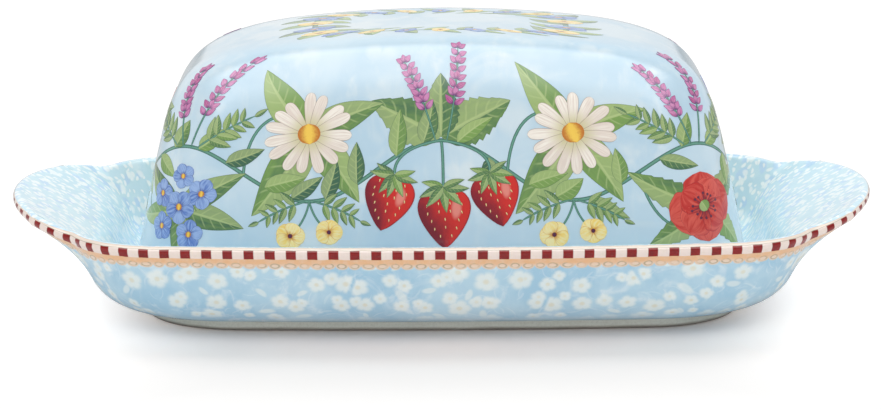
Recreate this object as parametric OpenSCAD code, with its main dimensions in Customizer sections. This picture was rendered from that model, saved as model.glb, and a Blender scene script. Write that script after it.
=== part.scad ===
// Porcelain butter dish: a low boat-shaped dish with an ear at each end, and a domed lid without
// a knob that stands on the floor of the dish. Each is one fired piece.
// Millimetres, +Z up, X along the dish; the origin is on the table under the middle of the foot.

/* [Dish] */
// Length of the body at the rim, without the ears
body_l = 201; // [190:1:212]
// Width across the two long rims
body_w = 121; // [114:1:128]
// Height of the rim along the long sides
rim_h = 27.5; // [25:0.5:31]
// Corner radius of the rim, seen from above
rim_r = 25; // [21:0.5:32]
// How far the long sides draw in from the middle to the ends
side_bow = 6.3; // [0:0.1:9]
// Lean of the sides, in degrees from upright
flare = 22; // [18:1:27]
// Radius of the belly between the foot and the straight side
belly_r = 16.5; // [15:0.5:18]
// Slope at which the belly leaves the foot, in degrees
belly_slope = 8.5; // [6:0.5:12]
// Thickness of the sides
wall = 3; // [2.5:0.25:4]
// Thickness of the floor
floor_t = 3; // [2.5:0.25:4.5]

/* [Ears] */
// How far the wall of an ear reaches out past the body
ear_reach = 18.3; // [12:0.1:26]
// Width of an ear where it leaves the body
ear_w = 83; // [74:1:88]
// How far the tip of an ear stands above the long rims
ear_rise = 3.5; // [0:0.5:8]
// Shape of an ear's outline: lower values are fuller, 1 is a parabola
ear_full = 0.7; // [0.6:0.02:1]

/* [Foot] */
// Height of the foot, seen from outside
foot_h = 2.75; // [1.5:0.25:3.5]
// Width of the ring that touches the table
foot_t = 6; // [4:0.5:9]
// Corner radius of the foot, seen from above
foot_r = 27.5; // [22:0.5:34]
// Depth of the hollow inside the foot
foot_hollow = 4.3; // [3.5:0.1:5.5]

/* [Lid] */
// Height of the lid
lid_h = 70.5; // [56:0.5:84]
// Thickness of the lid
lid_wall = 3.5; // [2.5:0.25:4.5]
// Lean of the lid's sides, in degrees from upright
lid_lean = 11.2; // [6:0.2:14]
// Corner radius of the lid's lower edge, seen from above
lid_r = 33; // [28:1:38]
// Squareness of the lid's shoulder: 2 is an ellipse, higher values are squarer
lid_shoulder = 9.2; // [6:0.2:12]
// How far the arched top of the lid falls towards the ends
lid_arch = 10; // [0:0.5:13]
// Rounding of the lid's lower edge
lid_edge = 1; // [0.4:0.1:1.5]

/* [Fit] */
// Room left all round between the lid and the edge of the dish's floor
lid_gap = 0.7; // [0.4:0.1:2]

/* [Hidden] */

dish_colour = "#b9d8ec";
lid_colour = "#c8e1f0";

// Fullness of every corner seen from above: 2 is a true arc, a little more eases into the straights
corner_full = 2.3;
// Strip left between the top of the foot and the belly
foot_ledge = 0.4;
// Easing of the foot's lower edge, and how far the hollow narrows upwards
foot_soft = 0.6;
hollow_draft = 1;

// Points in a quarter of a ring: end, ear's part of the corner, rest of the corner, long side
end_n = 5;
notch_n = 6;
turn_n = 9;
side_n = 5;
// Rings along the belly, the straight side, the lip, the lid's profile and its lower edge
belly_n = 5;
flank_n = 7;
lip_n = 6;
dome_n = 20;
edge_n = 2;
// How much closer together the dome's rings are at the shoulder, halfway up the profile's 90 degrees
dome_mid = 45;
dome_crowd = 0.8;
// Last ring of the dome, in degrees up its profile; the rest is a small flat cap
dome_end = 87;

// Profile of the dish's side: where it starts, how long its straight part is, how far it runs out
edge_z = rim_h - wall / 2 * (1 + sin(flare));
belly_rise = belly_r * (cos(belly_slope) - sin(flare));
side_l = (edge_z - foot_h - belly_rise) / cos(flare);
run = belly_r * (cos(flare) - sin(belly_slope)) + side_l * sin(flare) + wall / 2 * (1 - cos(flare));
body_a = body_l / 2;
body_b = body_w / 2;

// Floor: its height, the slope of the inner belly where the floor meets it, and its outline
floor_z = foot_hollow + floor_t;
belly_z = foot_h + belly_r * cos(belly_slope);
inner_r = belly_r - wall;
floor_slope = acos(min(1, (belly_z - floor_z) / inner_r));
floor_in = run + belly_r * sin(belly_slope) - inner_r * sin(floor_slope);
floor_q = (floor_slope - belly_slope) / (90 - flare - belly_slope);
floor_r = skin_r(belly_out(floor_slope)) - wall * sin(floor_slope);

// Outlines of the foot and of the lid's lower edge
foot_a = body_a - run - foot_ledge;
foot_b = body_b - run - foot_ledge;
lid_a = body_a - floor_in - lid_gap;
lid_b = body_b - floor_in - lid_gap;

// A corner point for the angle t, on a superellipse that fits a unit square
function corner(t) =
    let (k = pow(pow(cos(t), corner_full) + pow(sin(t), corner_full), -1 / corner_full))
    [k * cos(t), k * sin(t)];

// Point of a rounded rectangle with half sizes a and b and corner radius r, in column c; its long
// sides are bowed as the rim's are, which is body_a long, or that times share higher up a dome
function ring_xy(a, b, r, c, share = 1) =
    let (x = (a - r) * c[0] + r * c[2], y = (b - r) * c[1] + r * c[3])
    [x, y * (1 - side_bow / body_b * pow(x / (body_a * share), 2))];

// Angle on the rim's corner at which an ear ends, where a column of points runs up the notch
notch_least = 25;
notch_most = 70;
notch_steps = 24;
function rim_y(t) = let (p = corner(t)) ring_xy(body_a, body_b, rim_r, [1, 1, p[0], p[1]])[1];
function notch(low, high, steps) =
    let (t = (low + high) / 2)
    steps == 0 ? t : rim_y(t) > ear_w / 2 ? notch(low, t, steps - 1) : notch(t, high, steps - 1);
notch_t = notch(notch_least, notch_most, notch_steps);

// A quarter of a ring as [share of the end, share of the side, corner angle], from +X to +Y
quarter = concat(
    [for (k = [0 : end_n - 1]) [1, k / end_n, 0]],
    [for (k = [0 : notch_n - 1]) [1, 1, notch_t * k / notch_n]],
    [for (k = [0 : turn_n - 1]) [1, 1, notch_t + (90 - notch_t) * k / turn_n]],
    [for (k = [0 : side_n]) [1 - k / side_n, 1, 90]]
);
quarter_n = len(quarter) - 1;

// The same column in the quarter with the signs sx and sy
function column(q, sx, sy) =
    let (c = corner(q[2]))
    [sx * q[0], sy * q[1], sx * c[0], sy * c[1], sx];

// All columns of a ring, anticlockwise from +X
columns = concat(
    [for (k = [0 : quarter_n - 1]) column(quarter[k], 1, 1)],
    [for (k = [quarter_n : -1 : 1]) column(quarter[k], -1, 1)],
    [for (k = [0 : quarter_n - 1]) column(quarter[k], -1, -1)],
    [for (k = [quarter_n : -1 : 1]) column(quarter[k], 1, -1)]
);
column_n = len(columns);

// A whole level ring, set in from the half sizes a and b
function level(a, b, r, z, inset = 0) =
    [for (c = columns) concat(ring_xy(a - inset, b - inset, r - inset, c), z)];

// Share of the ear's full reach in column c
function ear(c) =
    let (y = ring_xy(body_a, body_b, rim_r, c)[1])
    pow(max(0, 1 - pow(2 * y / ear_w, 2)), ear_full);

// Way out from the foot along the belly, up to a slope, and the skin's corner radius that far out
function belly_out(slope) = belly_r * (sin(slope) - sin(belly_slope));
function skin_r(out) = foot_r + (rim_r - foot_r) * out / run;

// Outer skin of the dish: q runs from 0 at the foot over 1 at the end of the belly to 2 at the rim
function skin(c, q) =
    let (
        slope = belly_slope + min(q, 1) * (90 - flare - belly_slope),
        v = max(q - 1, 0),
        out = belly_out(slope) + v * side_l * sin(flare),
        up = belly_r * (cos(belly_slope) - cos(slope)) + v * side_l * cos(flare),
        p = ring_xy(body_a - run + out, body_b - run + out, skin_r(out), c),
        e = ear(c) * v * v
    )
    [p[0] + c[4] * ear_reach * e, p[1], foot_h + up + ear_rise * e];

// Direction up the skin, and out of it, at column number i
step_q = 0.001;
function unit(v) = v / norm(v);
function upward(i, q) = unit(skin(columns[i], q) - skin(columns[i], q - step_q));
function outward(i, q) =
    let (
        after = skin(columns[(i + 1) % column_n], q),
        before = skin(columns[(i + column_n - 1) % column_n], q)
    )
    unit(cross(after - before, upward(i, q)));

// Rings of the dish: outside, round lip, inside
function outer_ring(q) = [for (c = columns) skin(c, q)];
function lip_ring(t) =
    [for (i = [0 : column_n - 1])
        let (n = outward(i, 2), u = upward(i, 2))
        skin(columns[i], 2) + wall / 2 * ((cos(t) - 1) * n + sin(t) * u)];
function inner_ring(q) =
    [for (i = [0 : column_n - 1]) skin(columns[i], q) - wall * outward(i, q)];

// Angle up the profile of ring number k of a dome, closest together at the shoulder
function dome_t(k) =
    let (s = 2 * k / dome_n - 1)
    max(atan(lid_edge / lid_h), min(dome_end, dome_mid * (1 + s * pow(abs(s), dome_crowd))));

// Ring of a dome, t degrees up its profile, for a skin set in by inset and h high
function dome_ring(t, inset, h) =
    let (
        k = pow(pow(cos(t), lid_shoulder) + pow(sin(t), lid_shoulder), -1 / lid_shoulder),
        share = k * cos(t),
        rise = k * sin(t),
        in = inset + h * rise * tan(lid_lean)
    )
    [for (c = columns)
        let (p = ring_xy((lid_a - in) * share, (lid_b - in) * share, (lid_r - in) * share, c, share))
        concat(p, h * rise - lid_arch * pow(rise * p[0] / lid_a, 2))];

// Height of a ring's highest point
function top(ring) = max([for (p = ring) p[2]]);

// Closed solid through a list of rings, with the first and the last capped at the height of their tops
module stack(rings) {
    n = len(rings[0]);
    m = len(rings);
    first_mid = n * m;
    last_mid = n * m + 1;
    polyhedron(
        points = concat(
            [for (r = rings) each r],
            [[0, 0, top(rings[0])], [0, 0, top(rings[m - 1])]]
        ),
        faces = concat(
            [for (i = [0 : n - 1]) [i, (i + 1) % n, first_mid]],
            [for (j = [0 : m - 2], i = [0 : n - 1])
                let (a = j * n + i, b = j * n + (i + 1) % n)
                each [[a, a + n, b], [b, a + n, b + n]]],
            [for (i = [0 : n - 1])
                let (a = (m - 1) * n + i, b = (m - 1) * n + (i + 1) % n)
                [b, a, last_mid]]
        )
    );
}

// Dish: hollow under the floor, foot, belly, flared side with the ears, round lip, inside, floor
module dish() {
    color(dish_colour)
    stack(concat(
        [level(foot_a, foot_b, foot_r, foot_hollow, foot_t + hollow_draft)],
        [level(foot_a, foot_b, foot_r, 0, foot_t)],
        [level(foot_a, foot_b, foot_r, 0, foot_soft)],
        [level(foot_a, foot_b, foot_r, foot_soft)],
        [level(foot_a, foot_b, foot_r, foot_h)],
        [for (k = [0 : belly_n]) outer_ring(k / belly_n)],
        [for (k = [1 : flank_n]) outer_ring(1 + k / flank_n)],
        [for (k = [1 : lip_n]) lip_ring(180 * k / lip_n)],
        [for (k = [flank_n - 1 : -1 : 0]) inner_ring(1 + k / flank_n)],
        [for (k = [1 : belly_n - 1]) inner_ring(1 - (1 - floor_q) * k / belly_n)],
        [level(body_a - floor_in, body_b - floor_in, floor_r, floor_z)]
    ));
}

// Lid: inside from the top down, rounded lower edge, outside back up
module lid() {
    color(lid_colour)
    translate([0, 0, floor_z])
    stack(concat(
        [for (k = [dome_n : -1 : 0]) dome_ring(dome_t(k), lid_wall, lid_h - lid_wall)],
        [for (k = [1 : edge_n])
            let (t = 90 * k / edge_n)
            level(lid_a, lid_b, lid_r, lid_edge * (1 - sin(t)), lid_wall - lid_edge * (1 - cos(t)))],
        [for (k = [edge_n : -1 : 1])
            let (t = 90 * k / edge_n)
            level(lid_a, lid_b, lid_r, lid_edge * (1 - sin(t)), lid_edge * (1 - cos(t)))],
        [for (k = [0 : dome_n]) dome_ring(dome_t(k), 0, lid_h)]
    ));
}

dish();
lid();
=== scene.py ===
"""Butter dish: a boat-shaped dish with an ear at each end and a domed lid, both of painted porcelain.

Run as a script. The solids of the frame are loaded first; each operator then makes one piece, or one
group of like pieces, in the same frame and in metres.
"""

import math
import random

import bmesh
import bpy
import numpy as np
from bpy.props import FloatProperty, FloatVectorProperty, PointerProperty
from bpy.types import NodeSocket, Operator, Panel, PropertyGroup
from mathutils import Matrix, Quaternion, Vector


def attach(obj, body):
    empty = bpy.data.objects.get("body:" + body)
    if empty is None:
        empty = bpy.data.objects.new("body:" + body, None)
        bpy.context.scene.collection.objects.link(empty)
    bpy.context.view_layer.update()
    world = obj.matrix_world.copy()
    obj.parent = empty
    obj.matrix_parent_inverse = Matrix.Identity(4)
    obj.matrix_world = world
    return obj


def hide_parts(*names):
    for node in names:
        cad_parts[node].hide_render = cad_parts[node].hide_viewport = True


bl_info = {
    "name": "Butter Dish",
    "version": (1, 0, 0),
    "blender": (4, 5, 0),
    "location": "View3D > Sidebar > Butter Dish",
    "description": "Painted porcelain butter dish with a lift-off lid",
    "category": "Object",
}

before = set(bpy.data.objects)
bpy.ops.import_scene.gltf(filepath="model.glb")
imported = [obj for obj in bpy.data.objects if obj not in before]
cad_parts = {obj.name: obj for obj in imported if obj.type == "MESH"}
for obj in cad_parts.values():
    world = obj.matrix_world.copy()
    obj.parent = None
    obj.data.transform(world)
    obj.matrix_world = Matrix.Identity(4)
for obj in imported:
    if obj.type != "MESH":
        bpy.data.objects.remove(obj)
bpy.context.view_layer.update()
MM = 0.001


def length(name, description, default):
    """A length property, in metres."""
    return FloatProperty(
        name=name, description=description, default=default, min=0, unit="LENGTH", precision=5)


def angle(name, description, degrees):
    """An angle property, written in degrees and kept in radians."""
    return FloatProperty(
        name=name, description=description, default=math.radians(degrees), subtype="ANGLE")


def number(name, description, default, unit="NONE"):
    """A plain number, or one with the unit of a lens or a lamp."""
    return FloatProperty(name=name, description=description, default=default, unit=unit)


def colour(name, description, *screen):
    """A colour property, written as it looks on a screen (0 to 255) and kept in linear light."""
    shares = [value / 255 for value in screen]
    linear = [c / 12.92 if c <= 0.04045 else ((c + 0.055) / 1.055) ** 2.4 for c in shares]
    return FloatVectorProperty(
        name=name, description=description, default=linear, size=3, min=0, max=1, subtype="COLOR")


class DishSizes(PropertyGroup):
    """Sizes of the dish, as its solid has them"""
    body_l: length("Body length", "Length of the body at the rim, without the ears", 201 * MM)
    body_w: length("Body width", "Width across the two long rims", 120.97 * MM)
    rim_h: length("Rim height", "Height of the rim along the long sides", 27.5 * MM)
    rim_r: length("Rim corner", "Corner radius of the rim, seen from above", 25 * MM)
    side_bow: length("Side bow", "How far the long sides draw in from the middle to the ends", 6.3 * MM)
    flare: angle("Flare", "Lean of the sides from upright", 22)
    belly_r: length("Belly radius", "Radius of the belly between the foot and the straight side", 16.5 * MM)
    belly_slope: angle("Belly slope", "Slope at which the belly leaves the foot", 8.5)
    wall: length("Wall", "Thickness of the sides", 3 * MM)
    floor_t: length("Floor", "Thickness of the floor", 3 * MM)
    ear_reach: length("Ear reach", "How far an ear reaches out past the body", 18.3 * MM)
    ear_w: length("Ear width", "Width of an ear where it leaves the body", 83 * MM)
    ear_rise: length("Ear rise", "How far the tip of an ear stands above the long rims", 3.5 * MM)
    ear_full: number("Ear fullness", "Lower is fuller, 1 is a parabola", 0.7)
    foot_h: length("Foot height", "Height of the foot, seen from outside", 2.75 * MM)
    foot_t: length("Foot width", "Width of the ring that touches the table", 6 * MM)
    foot_r: length("Foot corner", "Corner radius of the foot, seen from above", 27.5 * MM)
    foot_hollow: length("Foot hollow", "Depth of the hollow inside the foot", 4.3 * MM)


class LidSizes(PropertyGroup):
    """Sizes of the lid, as its solid has them"""
    height: length("Height", "Height of the lid", 70.5 * MM)
    wall: length("Wall", "Thickness of the lid", 3.5 * MM)
    lean: angle("Lean", "Lean of the lid's sides from upright", 11.2)
    corner: length("Corner", "Corner radius of the lid's lower edge, seen from above", 33 * MM)
    shoulder: number("Shoulder", "Squareness of the shoulder, 2 is an ellipse", 9.2)
    arch: length("Arch", "How far the arched top falls towards the ends", 10 * MM)
    edge: length("Edge", "Rounding of the lower edge", 1 * MM)
    gap: length("Gap", "Room between the lid and the edge of the dish's floor", 0.7 * MM)
    paint: length("Paint room", "Thickness kept for the enamel painted on the lid", 0.2 * MM)


class BorderSizes(PropertyGroup):
    """Sizes of the painted border, down the outside from the crest of the lip"""
    check: length("Check", "Length of a dark and a light square together", 5.59 * MM)
    check_top: length("Check top", "Where the squares start and the lip ends", 0.8 * MM)
    check_end: length("Check end", "Where the squares end", 3.5 * MM)
    band_top: length("Band top", "Where the apricot band starts", 3.3 * MM)
    band_end: length("Band end", "Where the apricot band ends, between two loops of lace", 5.45 * MM)
    lace: length("Lace", "Length of a loop of lace", 3.5 * MM)
    lace_drop: length("Lace drop", "How far the loops of lace hang below the band", 1.3 * MM)
    lace_eye: length("Lace eye", "Where the middles of the loops of lace are", 5.6 * MM)
    ear_shift: length("Ear shift", "How much higher the border lies on the ears", 1.4 * MM)


class GlazeColours(PropertyGroup):
    """Colours of the glaze and of the painted border"""
    lid_deep: colour("Lid deep", "Bluest wash on the lid", 186, 214, 231)
    lid_mid: colour("Lid middle", "Common wash on the lid", 205, 225, 236)
    lid_pale: colour("Lid pale", "Palest wash on the lid", 228, 237, 239)
    dish_deep: colour("Dish deep", "Bluest wash on the dish", 165, 205, 228)
    dish_mid: colour("Dish middle", "Common wash on the dish", 184, 217, 234)
    dish_pale: colour("Dish pale", "Palest wash on the dish", 232, 243, 248)
    well: colour("Well", "Pale tint inside the dish", 224, 250, 255)
    well_deep: colour("Well deep", "Bluest tint inside the dish", 174, 206, 248)
    blossom: colour("Blossom", "Little blossoms scattered on the dish", 238, 245, 241)
    heart: colour("Blossom heart", "Middles of the little blossoms", 224, 214, 176)
    stroke: colour("Stroke", "Pale strokes inside the dish", 248, 255, 255)
    cream: colour("Lip", "Cream line on the lip", 234, 219, 205)
    red: colour("Red check", "Dark squares of the border", 140, 0, 0)
    red_dark: colour("Red check dark", "Darker touches in the dark squares", 118, 0, 2)
    white: colour("White check", "Light squares of the border", 238, 222, 214)
    apricot: colour("Apricot", "Band under the checks", 236, 182, 130)
    lace: colour("Lace", "Lines of the scalloped edge", 168, 156, 128)
    clay: colour("Clay", "Unglazed foot", 222, 226, 216)
    clay_dark: colour("Clay dark", "Grit in the clay", 190, 192, 180)
    # Darkest clay where the foot stands: wear, and painted contact shade where it meets the table
    clay_wear_and_shade: colour("Clay edge", "Worn edge the foot stands on", 150, 146, 138)
    inside: colour("Lid inside", "Glaze inside the lid", 238, 244, 246)


class PaintColours(PropertyGroup):
    """Colours of the garland on the lid"""
    stem: colour("Stem", "Light side of the stems", 104, 158, 138)
    stem_dark: colour("Stem dark", "Dark side of the stems", 54, 104, 92)
    leaf_deep: colour("Leaf deep", "Dark green of the leaves", 62, 104, 80)
    leaf_mid: colour("Leaf middle", "Fresh green of the leaves", 124, 160, 84)
    leaf_light: colour("Leaf light", "Light green of the leaves and their veins", 186, 204, 140)
    leaf_ink: colour("Leaf outline", "Outline of the leaves", 44, 74, 66)
    petal: colour("Petal", "Cream of the daisies", 250, 243, 232)
    petal_shade: colour("Petal shade", "Shaded cream of the daisies", 228, 214, 202)
    petal_base: colour("Petal base", "Foot of the daisy's petals", 206, 200, 150)
    ink: colour("Outline", "Outline of the petals", 132, 104, 92)
    heart: colour("Flower heart", "Yellow of the hearts", 246, 204, 84)
    heart_dark: colour("Flower heart dark", "Shaded yellow of the hearts", 196, 120, 44)
    berry: colour("Berry", "Red of the berries", 212, 36, 30)
    berry_deep: colour("Berry deep", "Deep red of the berries", 122, 12, 38)
    berry_shine: colour("Berry shine", "Light on the berries", 246, 176, 160)
    seed: colour("Seed", "Seeds of the berries", 250, 226, 160)
    seed_dark: colour("Seed dark", "Shade round the seeds", 140, 40, 30)
    blue: colour("Blue", "Blue petals", 92, 126, 196)
    blue_light: colour("Blue light", "Light blue petals", 156, 184, 228)
    blue_deep: colour("Blue deep", "Deep blue of the petals", 52, 70, 146)
    poppy: colour("Poppy", "Red of the poppies", 196, 40, 36)
    poppy_light: colour("Poppy light", "Light red of the poppies", 224, 92, 78)
    poppy_deep: colour("Poppy deep", "Deep red of the poppies", 128, 16, 40)
    stamen: colour("Stamen", "Stamens of the poppies", 74, 44, 74)
    yellow: colour("Yellow", "Yellow petals", 250, 216, 112)
    yellow_light: colour("Yellow light", "Light yellow petals", 252, 236, 176)
    yellow_deep: colour("Yellow deep", "Deep yellow of the petals", 214, 146, 44)
    violet: colour("Violet", "Lavender buds", 176, 70, 132)
    violet_light: colour("Violet light", "Light side of the lavender buds", 208, 138, 186)
    violet_deep: colour("Violet deep", "Dark side of the lavender buds", 92, 50, 110)


class StageSettings(PropertyGroup):
    """Camera and lights"""
    elevation: angle("Elevation", "Height of the camera above the level", 13.15)
    distance: length("Distance", "From the camera to the middle of the object", 849.4 * MM)
    target_z: length("Target height", "Height the camera looks from, above the table", 27 * MM)
    drop: length("Drop", "How far below that height the picture's middle is", 1.9 * MM)
    aside: length("Aside", "How far left of the object's middle the picture's middle is", 0.28 * MM)
    roll: angle("Roll", "Turn of the camera about its own axis", -0.35)
    lens: number("Lens", "Focal length", 123.66, "CAMERA")
    wall_light: number("Wall light", "Brightness of the room's walls", 0.9)
    ceiling_light: number("Ceiling light", "Brightness of the room's ceiling", 0.8)
    panel_light: number("Panel", "Brightness of the panel that the glaze mirrors", 3.2)
    dim_light: number("Dim room", "Brightness of the room that the glaze mirrors", 0.5)
    back_light: number("Back", "Brightness of the back wall that the glaze mirrors", 0.8)
    key_power: number("Key", "Power of the soft box above the back", 4.5, "POWER")
    fill_power: number("Fill", "Power of the soft box above the front", 2.5, "POWER")


class ButterDishSettings(PropertyGroup):
    """All values a user would change"""
    dish: PointerProperty(type=DishSizes)
    lid: PointerProperty(type=LidSizes)
    border: PointerProperty(type=BorderSizes)
    glaze: PointerProperty(type=GlazeColours)
    paint: PointerProperty(type=PaintColours)
    stage: PointerProperty(type=StageSettings)


def settings():
    """The values in use."""
    return bpy.context.scene.butter_dish


# Rings and columns of the two shells

CORNER_FULL = 2.3          # fullness of a corner seen from above, 2 is a circle
FOOT_LEDGE = 0.4 * MM      # from the lower end of the skin in to the foot
NOTCH_RANGE = (25, 70)     # degrees round a corner between which an ear ends
NOTCH_STEPS = 2000
PROFILE_STEPS = 4000
EAR_EASE = 5               # rounds of smoothing where an ear leaves the body
SLOPE_STEP = 0.001


def corner_reach(c, s):
    """Reach of a round corner in the direction with that cosine and sine, a little fuller than a circle."""
    return (c ** CORNER_FULL + s ** CORNER_FULL) ** (-1 / CORNER_FULL)


def ring_columns(notch_t, end_n, notch_n, turn_n, side_n):
    """Columns of a ring, anticlockwise seen from above, from the middle of the back round to it again."""
    quarter = [(1, k / end_n, 0) for k in range(end_n)]
    quarter += [(1, 1, notch_t * k / notch_n) for k in range(notch_n)]
    quarter += [(1, 1, notch_t + (math.pi / 2 - notch_t) * k / turn_n) for k in range(turn_n)]
    quarter += [(1 - k / side_n, 1, math.pi / 2) for k in range(side_n + 1)]

    def column(q, sx, sy):
        c, s = max(0, math.cos(q[2])), max(0, math.sin(q[2]))
        k = corner_reach(c, s)
        return sx * q[0], sy * q[1], sx * k * c, sy * k * s, sx

    last = len(quarter) - 1
    down, up = range(last, 0, -1), range(last)
    return np.array(
        [column(quarter[k], -1, 1) for k in down] + [column(quarter[k], -1, -1) for k in up]
        + [column(quarter[k], 1, -1) for k in down] + [column(quarter[k], 1, 1) for k in up])


def unit(vectors):
    """The same directions, each of length 1."""
    return vectors / np.linalg.norm(vectors, axis=-1, keepdims=True)


def closed(table):
    """The table with its first column once more at the end, where the seam is."""
    return np.concatenate([table, table[:, :1]], 1)


def ring_lengths(table):
    """Length along each ring from the front's middle; the last column is the seam again."""
    steps = np.linalg.norm(np.diff(closed(table), axis=1), axis=2)
    run = np.concatenate([np.zeros((len(table), 1)), np.cumsum(steps, 1)], 1)
    front = run[:, table.shape[1] // 2][:, None]
    return run - front


def column_lengths(table, start):
    """Length along each column from the row start, positive towards the first row."""
    steps = np.linalg.norm(np.diff(closed(table), axis=0), axis=2)
    run = np.concatenate([np.zeros((1, steps.shape[1])), np.cumsum(steps, 0)], 0)
    return run[start] - run


class DishForm:
    """The dish's own measures, worked out from its sizes."""

    def __init__(self, sizes):
        s = self.sizes = sizes
        sin, cos = math.sin, math.cos
        edge_z = s.rim_h - s.wall / 2 * (1 + sin(s.flare))
        side_z = edge_z - s.foot_h - s.belly_r * (cos(s.belly_slope) - sin(s.flare))
        self.side_l = side_z / cos(s.flare)
        self.run = (s.belly_r * (cos(s.flare) - sin(s.belly_slope)) + self.side_l * sin(s.flare)
                    + s.wall / 2 * (1 - cos(s.flare)))
        self.a, self.b = s.body_l / 2, s.body_w / 2
        self.floor_z = s.foot_hollow + s.floor_t
        inner_r = s.belly_r - s.wall
        belly_z = s.foot_h + s.belly_r * cos(s.belly_slope)
        floor_slope = math.acos(min(1, (belly_z - self.floor_z) / inner_r))
        self.floor_in = self.run + s.belly_r * sin(s.belly_slope) - inner_r * sin(floor_slope)
        self.bend = math.pi / 2 - s.flare - s.belly_slope
        self.floor_q = (floor_slope - s.belly_slope) / self.bend
        self.floor_r = (self.skin_r(s.belly_r * (sin(floor_slope) - sin(s.belly_slope)))
                        - s.wall * sin(floor_slope))
        self.notch_t = self.find_notch()

    def skin_r(self, out):
        """Corner radius of the skin, a way out from the foot."""
        return self.sizes.foot_r + (self.sizes.rim_r - self.sizes.foot_r) * out / self.run

    def ring(self, columns, a, b, r, z, share=1.0):
        """A level ring with half sizes a and b and corner radius r, its long sides bowed like the rim's."""
        x = (a - r) * columns[:, 0] + r * columns[:, 2]
        y = (b - r) * columns[:, 1] + r * columns[:, 3]
        y = y * (1 - self.sizes.side_bow / self.b * (x / (self.a * share)) ** 2)
        return np.stack([x, y, np.full_like(x, z)], 1)

    def find_notch(self):
        """Angle on the rim's corner at which an ear ends."""
        angles = np.radians(np.linspace(*NOTCH_RANGE, NOTCH_STEPS))
        c, s = np.cos(angles), np.sin(angles)
        k = corner_reach(c, s)
        full = np.ones(NOTCH_STEPS)
        corner = np.stack([full, full, k * c, k * s], 1)
        y = self.ring(corner, self.a, self.b, self.sizes.rim_r, 0)[:, 1]
        return float(np.interp(self.sizes.ear_w / 2, y, angles))

    def ear(self, columns):
        """Share of the ear's reach in each column, eased where the ear leaves the body."""
        y = self.ring(columns, self.a, self.b, self.sizes.rim_r, 0)[:, 1]
        share = np.maximum(0, 1 - (2 * y / self.sizes.ear_w) ** 2) ** self.sizes.ear_full
        for _ in range(EAR_EASE):
            share = (np.roll(share, 1) + 2 * share + np.roll(share, -1)) / 4
        return share

    def skin(self, columns, ear, q):
        """Ring of the outer skin: q is 0 at the foot, 1 at the end of the belly and 2 at the rim."""
        s = self.sizes
        sin, cos = math.sin, math.cos
        slope = s.belly_slope + min(q, 1) * self.bend
        v = max(q - 1, 0)
        out = s.belly_r * (sin(slope) - sin(s.belly_slope)) + v * self.side_l * sin(s.flare)
        up = s.belly_r * (cos(s.belly_slope) - cos(slope)) + v * self.side_l * cos(s.flare)
        inset = self.run - out
        ring = self.ring(columns, self.a - inset, self.b - inset, self.skin_r(out), s.foot_h + up)
        ring[:, 0] += columns[:, 4] * s.ear_reach * ear * v * v
        ring[:, 2] += s.ear_rise * ear * v * v
        return ring

    def outward(self, columns, ear, q):
        """Directions up the skin and out of it."""
        ring = self.skin(columns, ear, q)
        upward = unit(ring - self.skin(columns, ear, q - SLOPE_STEP))
        return upward, unit(np.cross(np.roll(ring, -1, 0) - np.roll(ring, 1, 0), upward))


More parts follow.
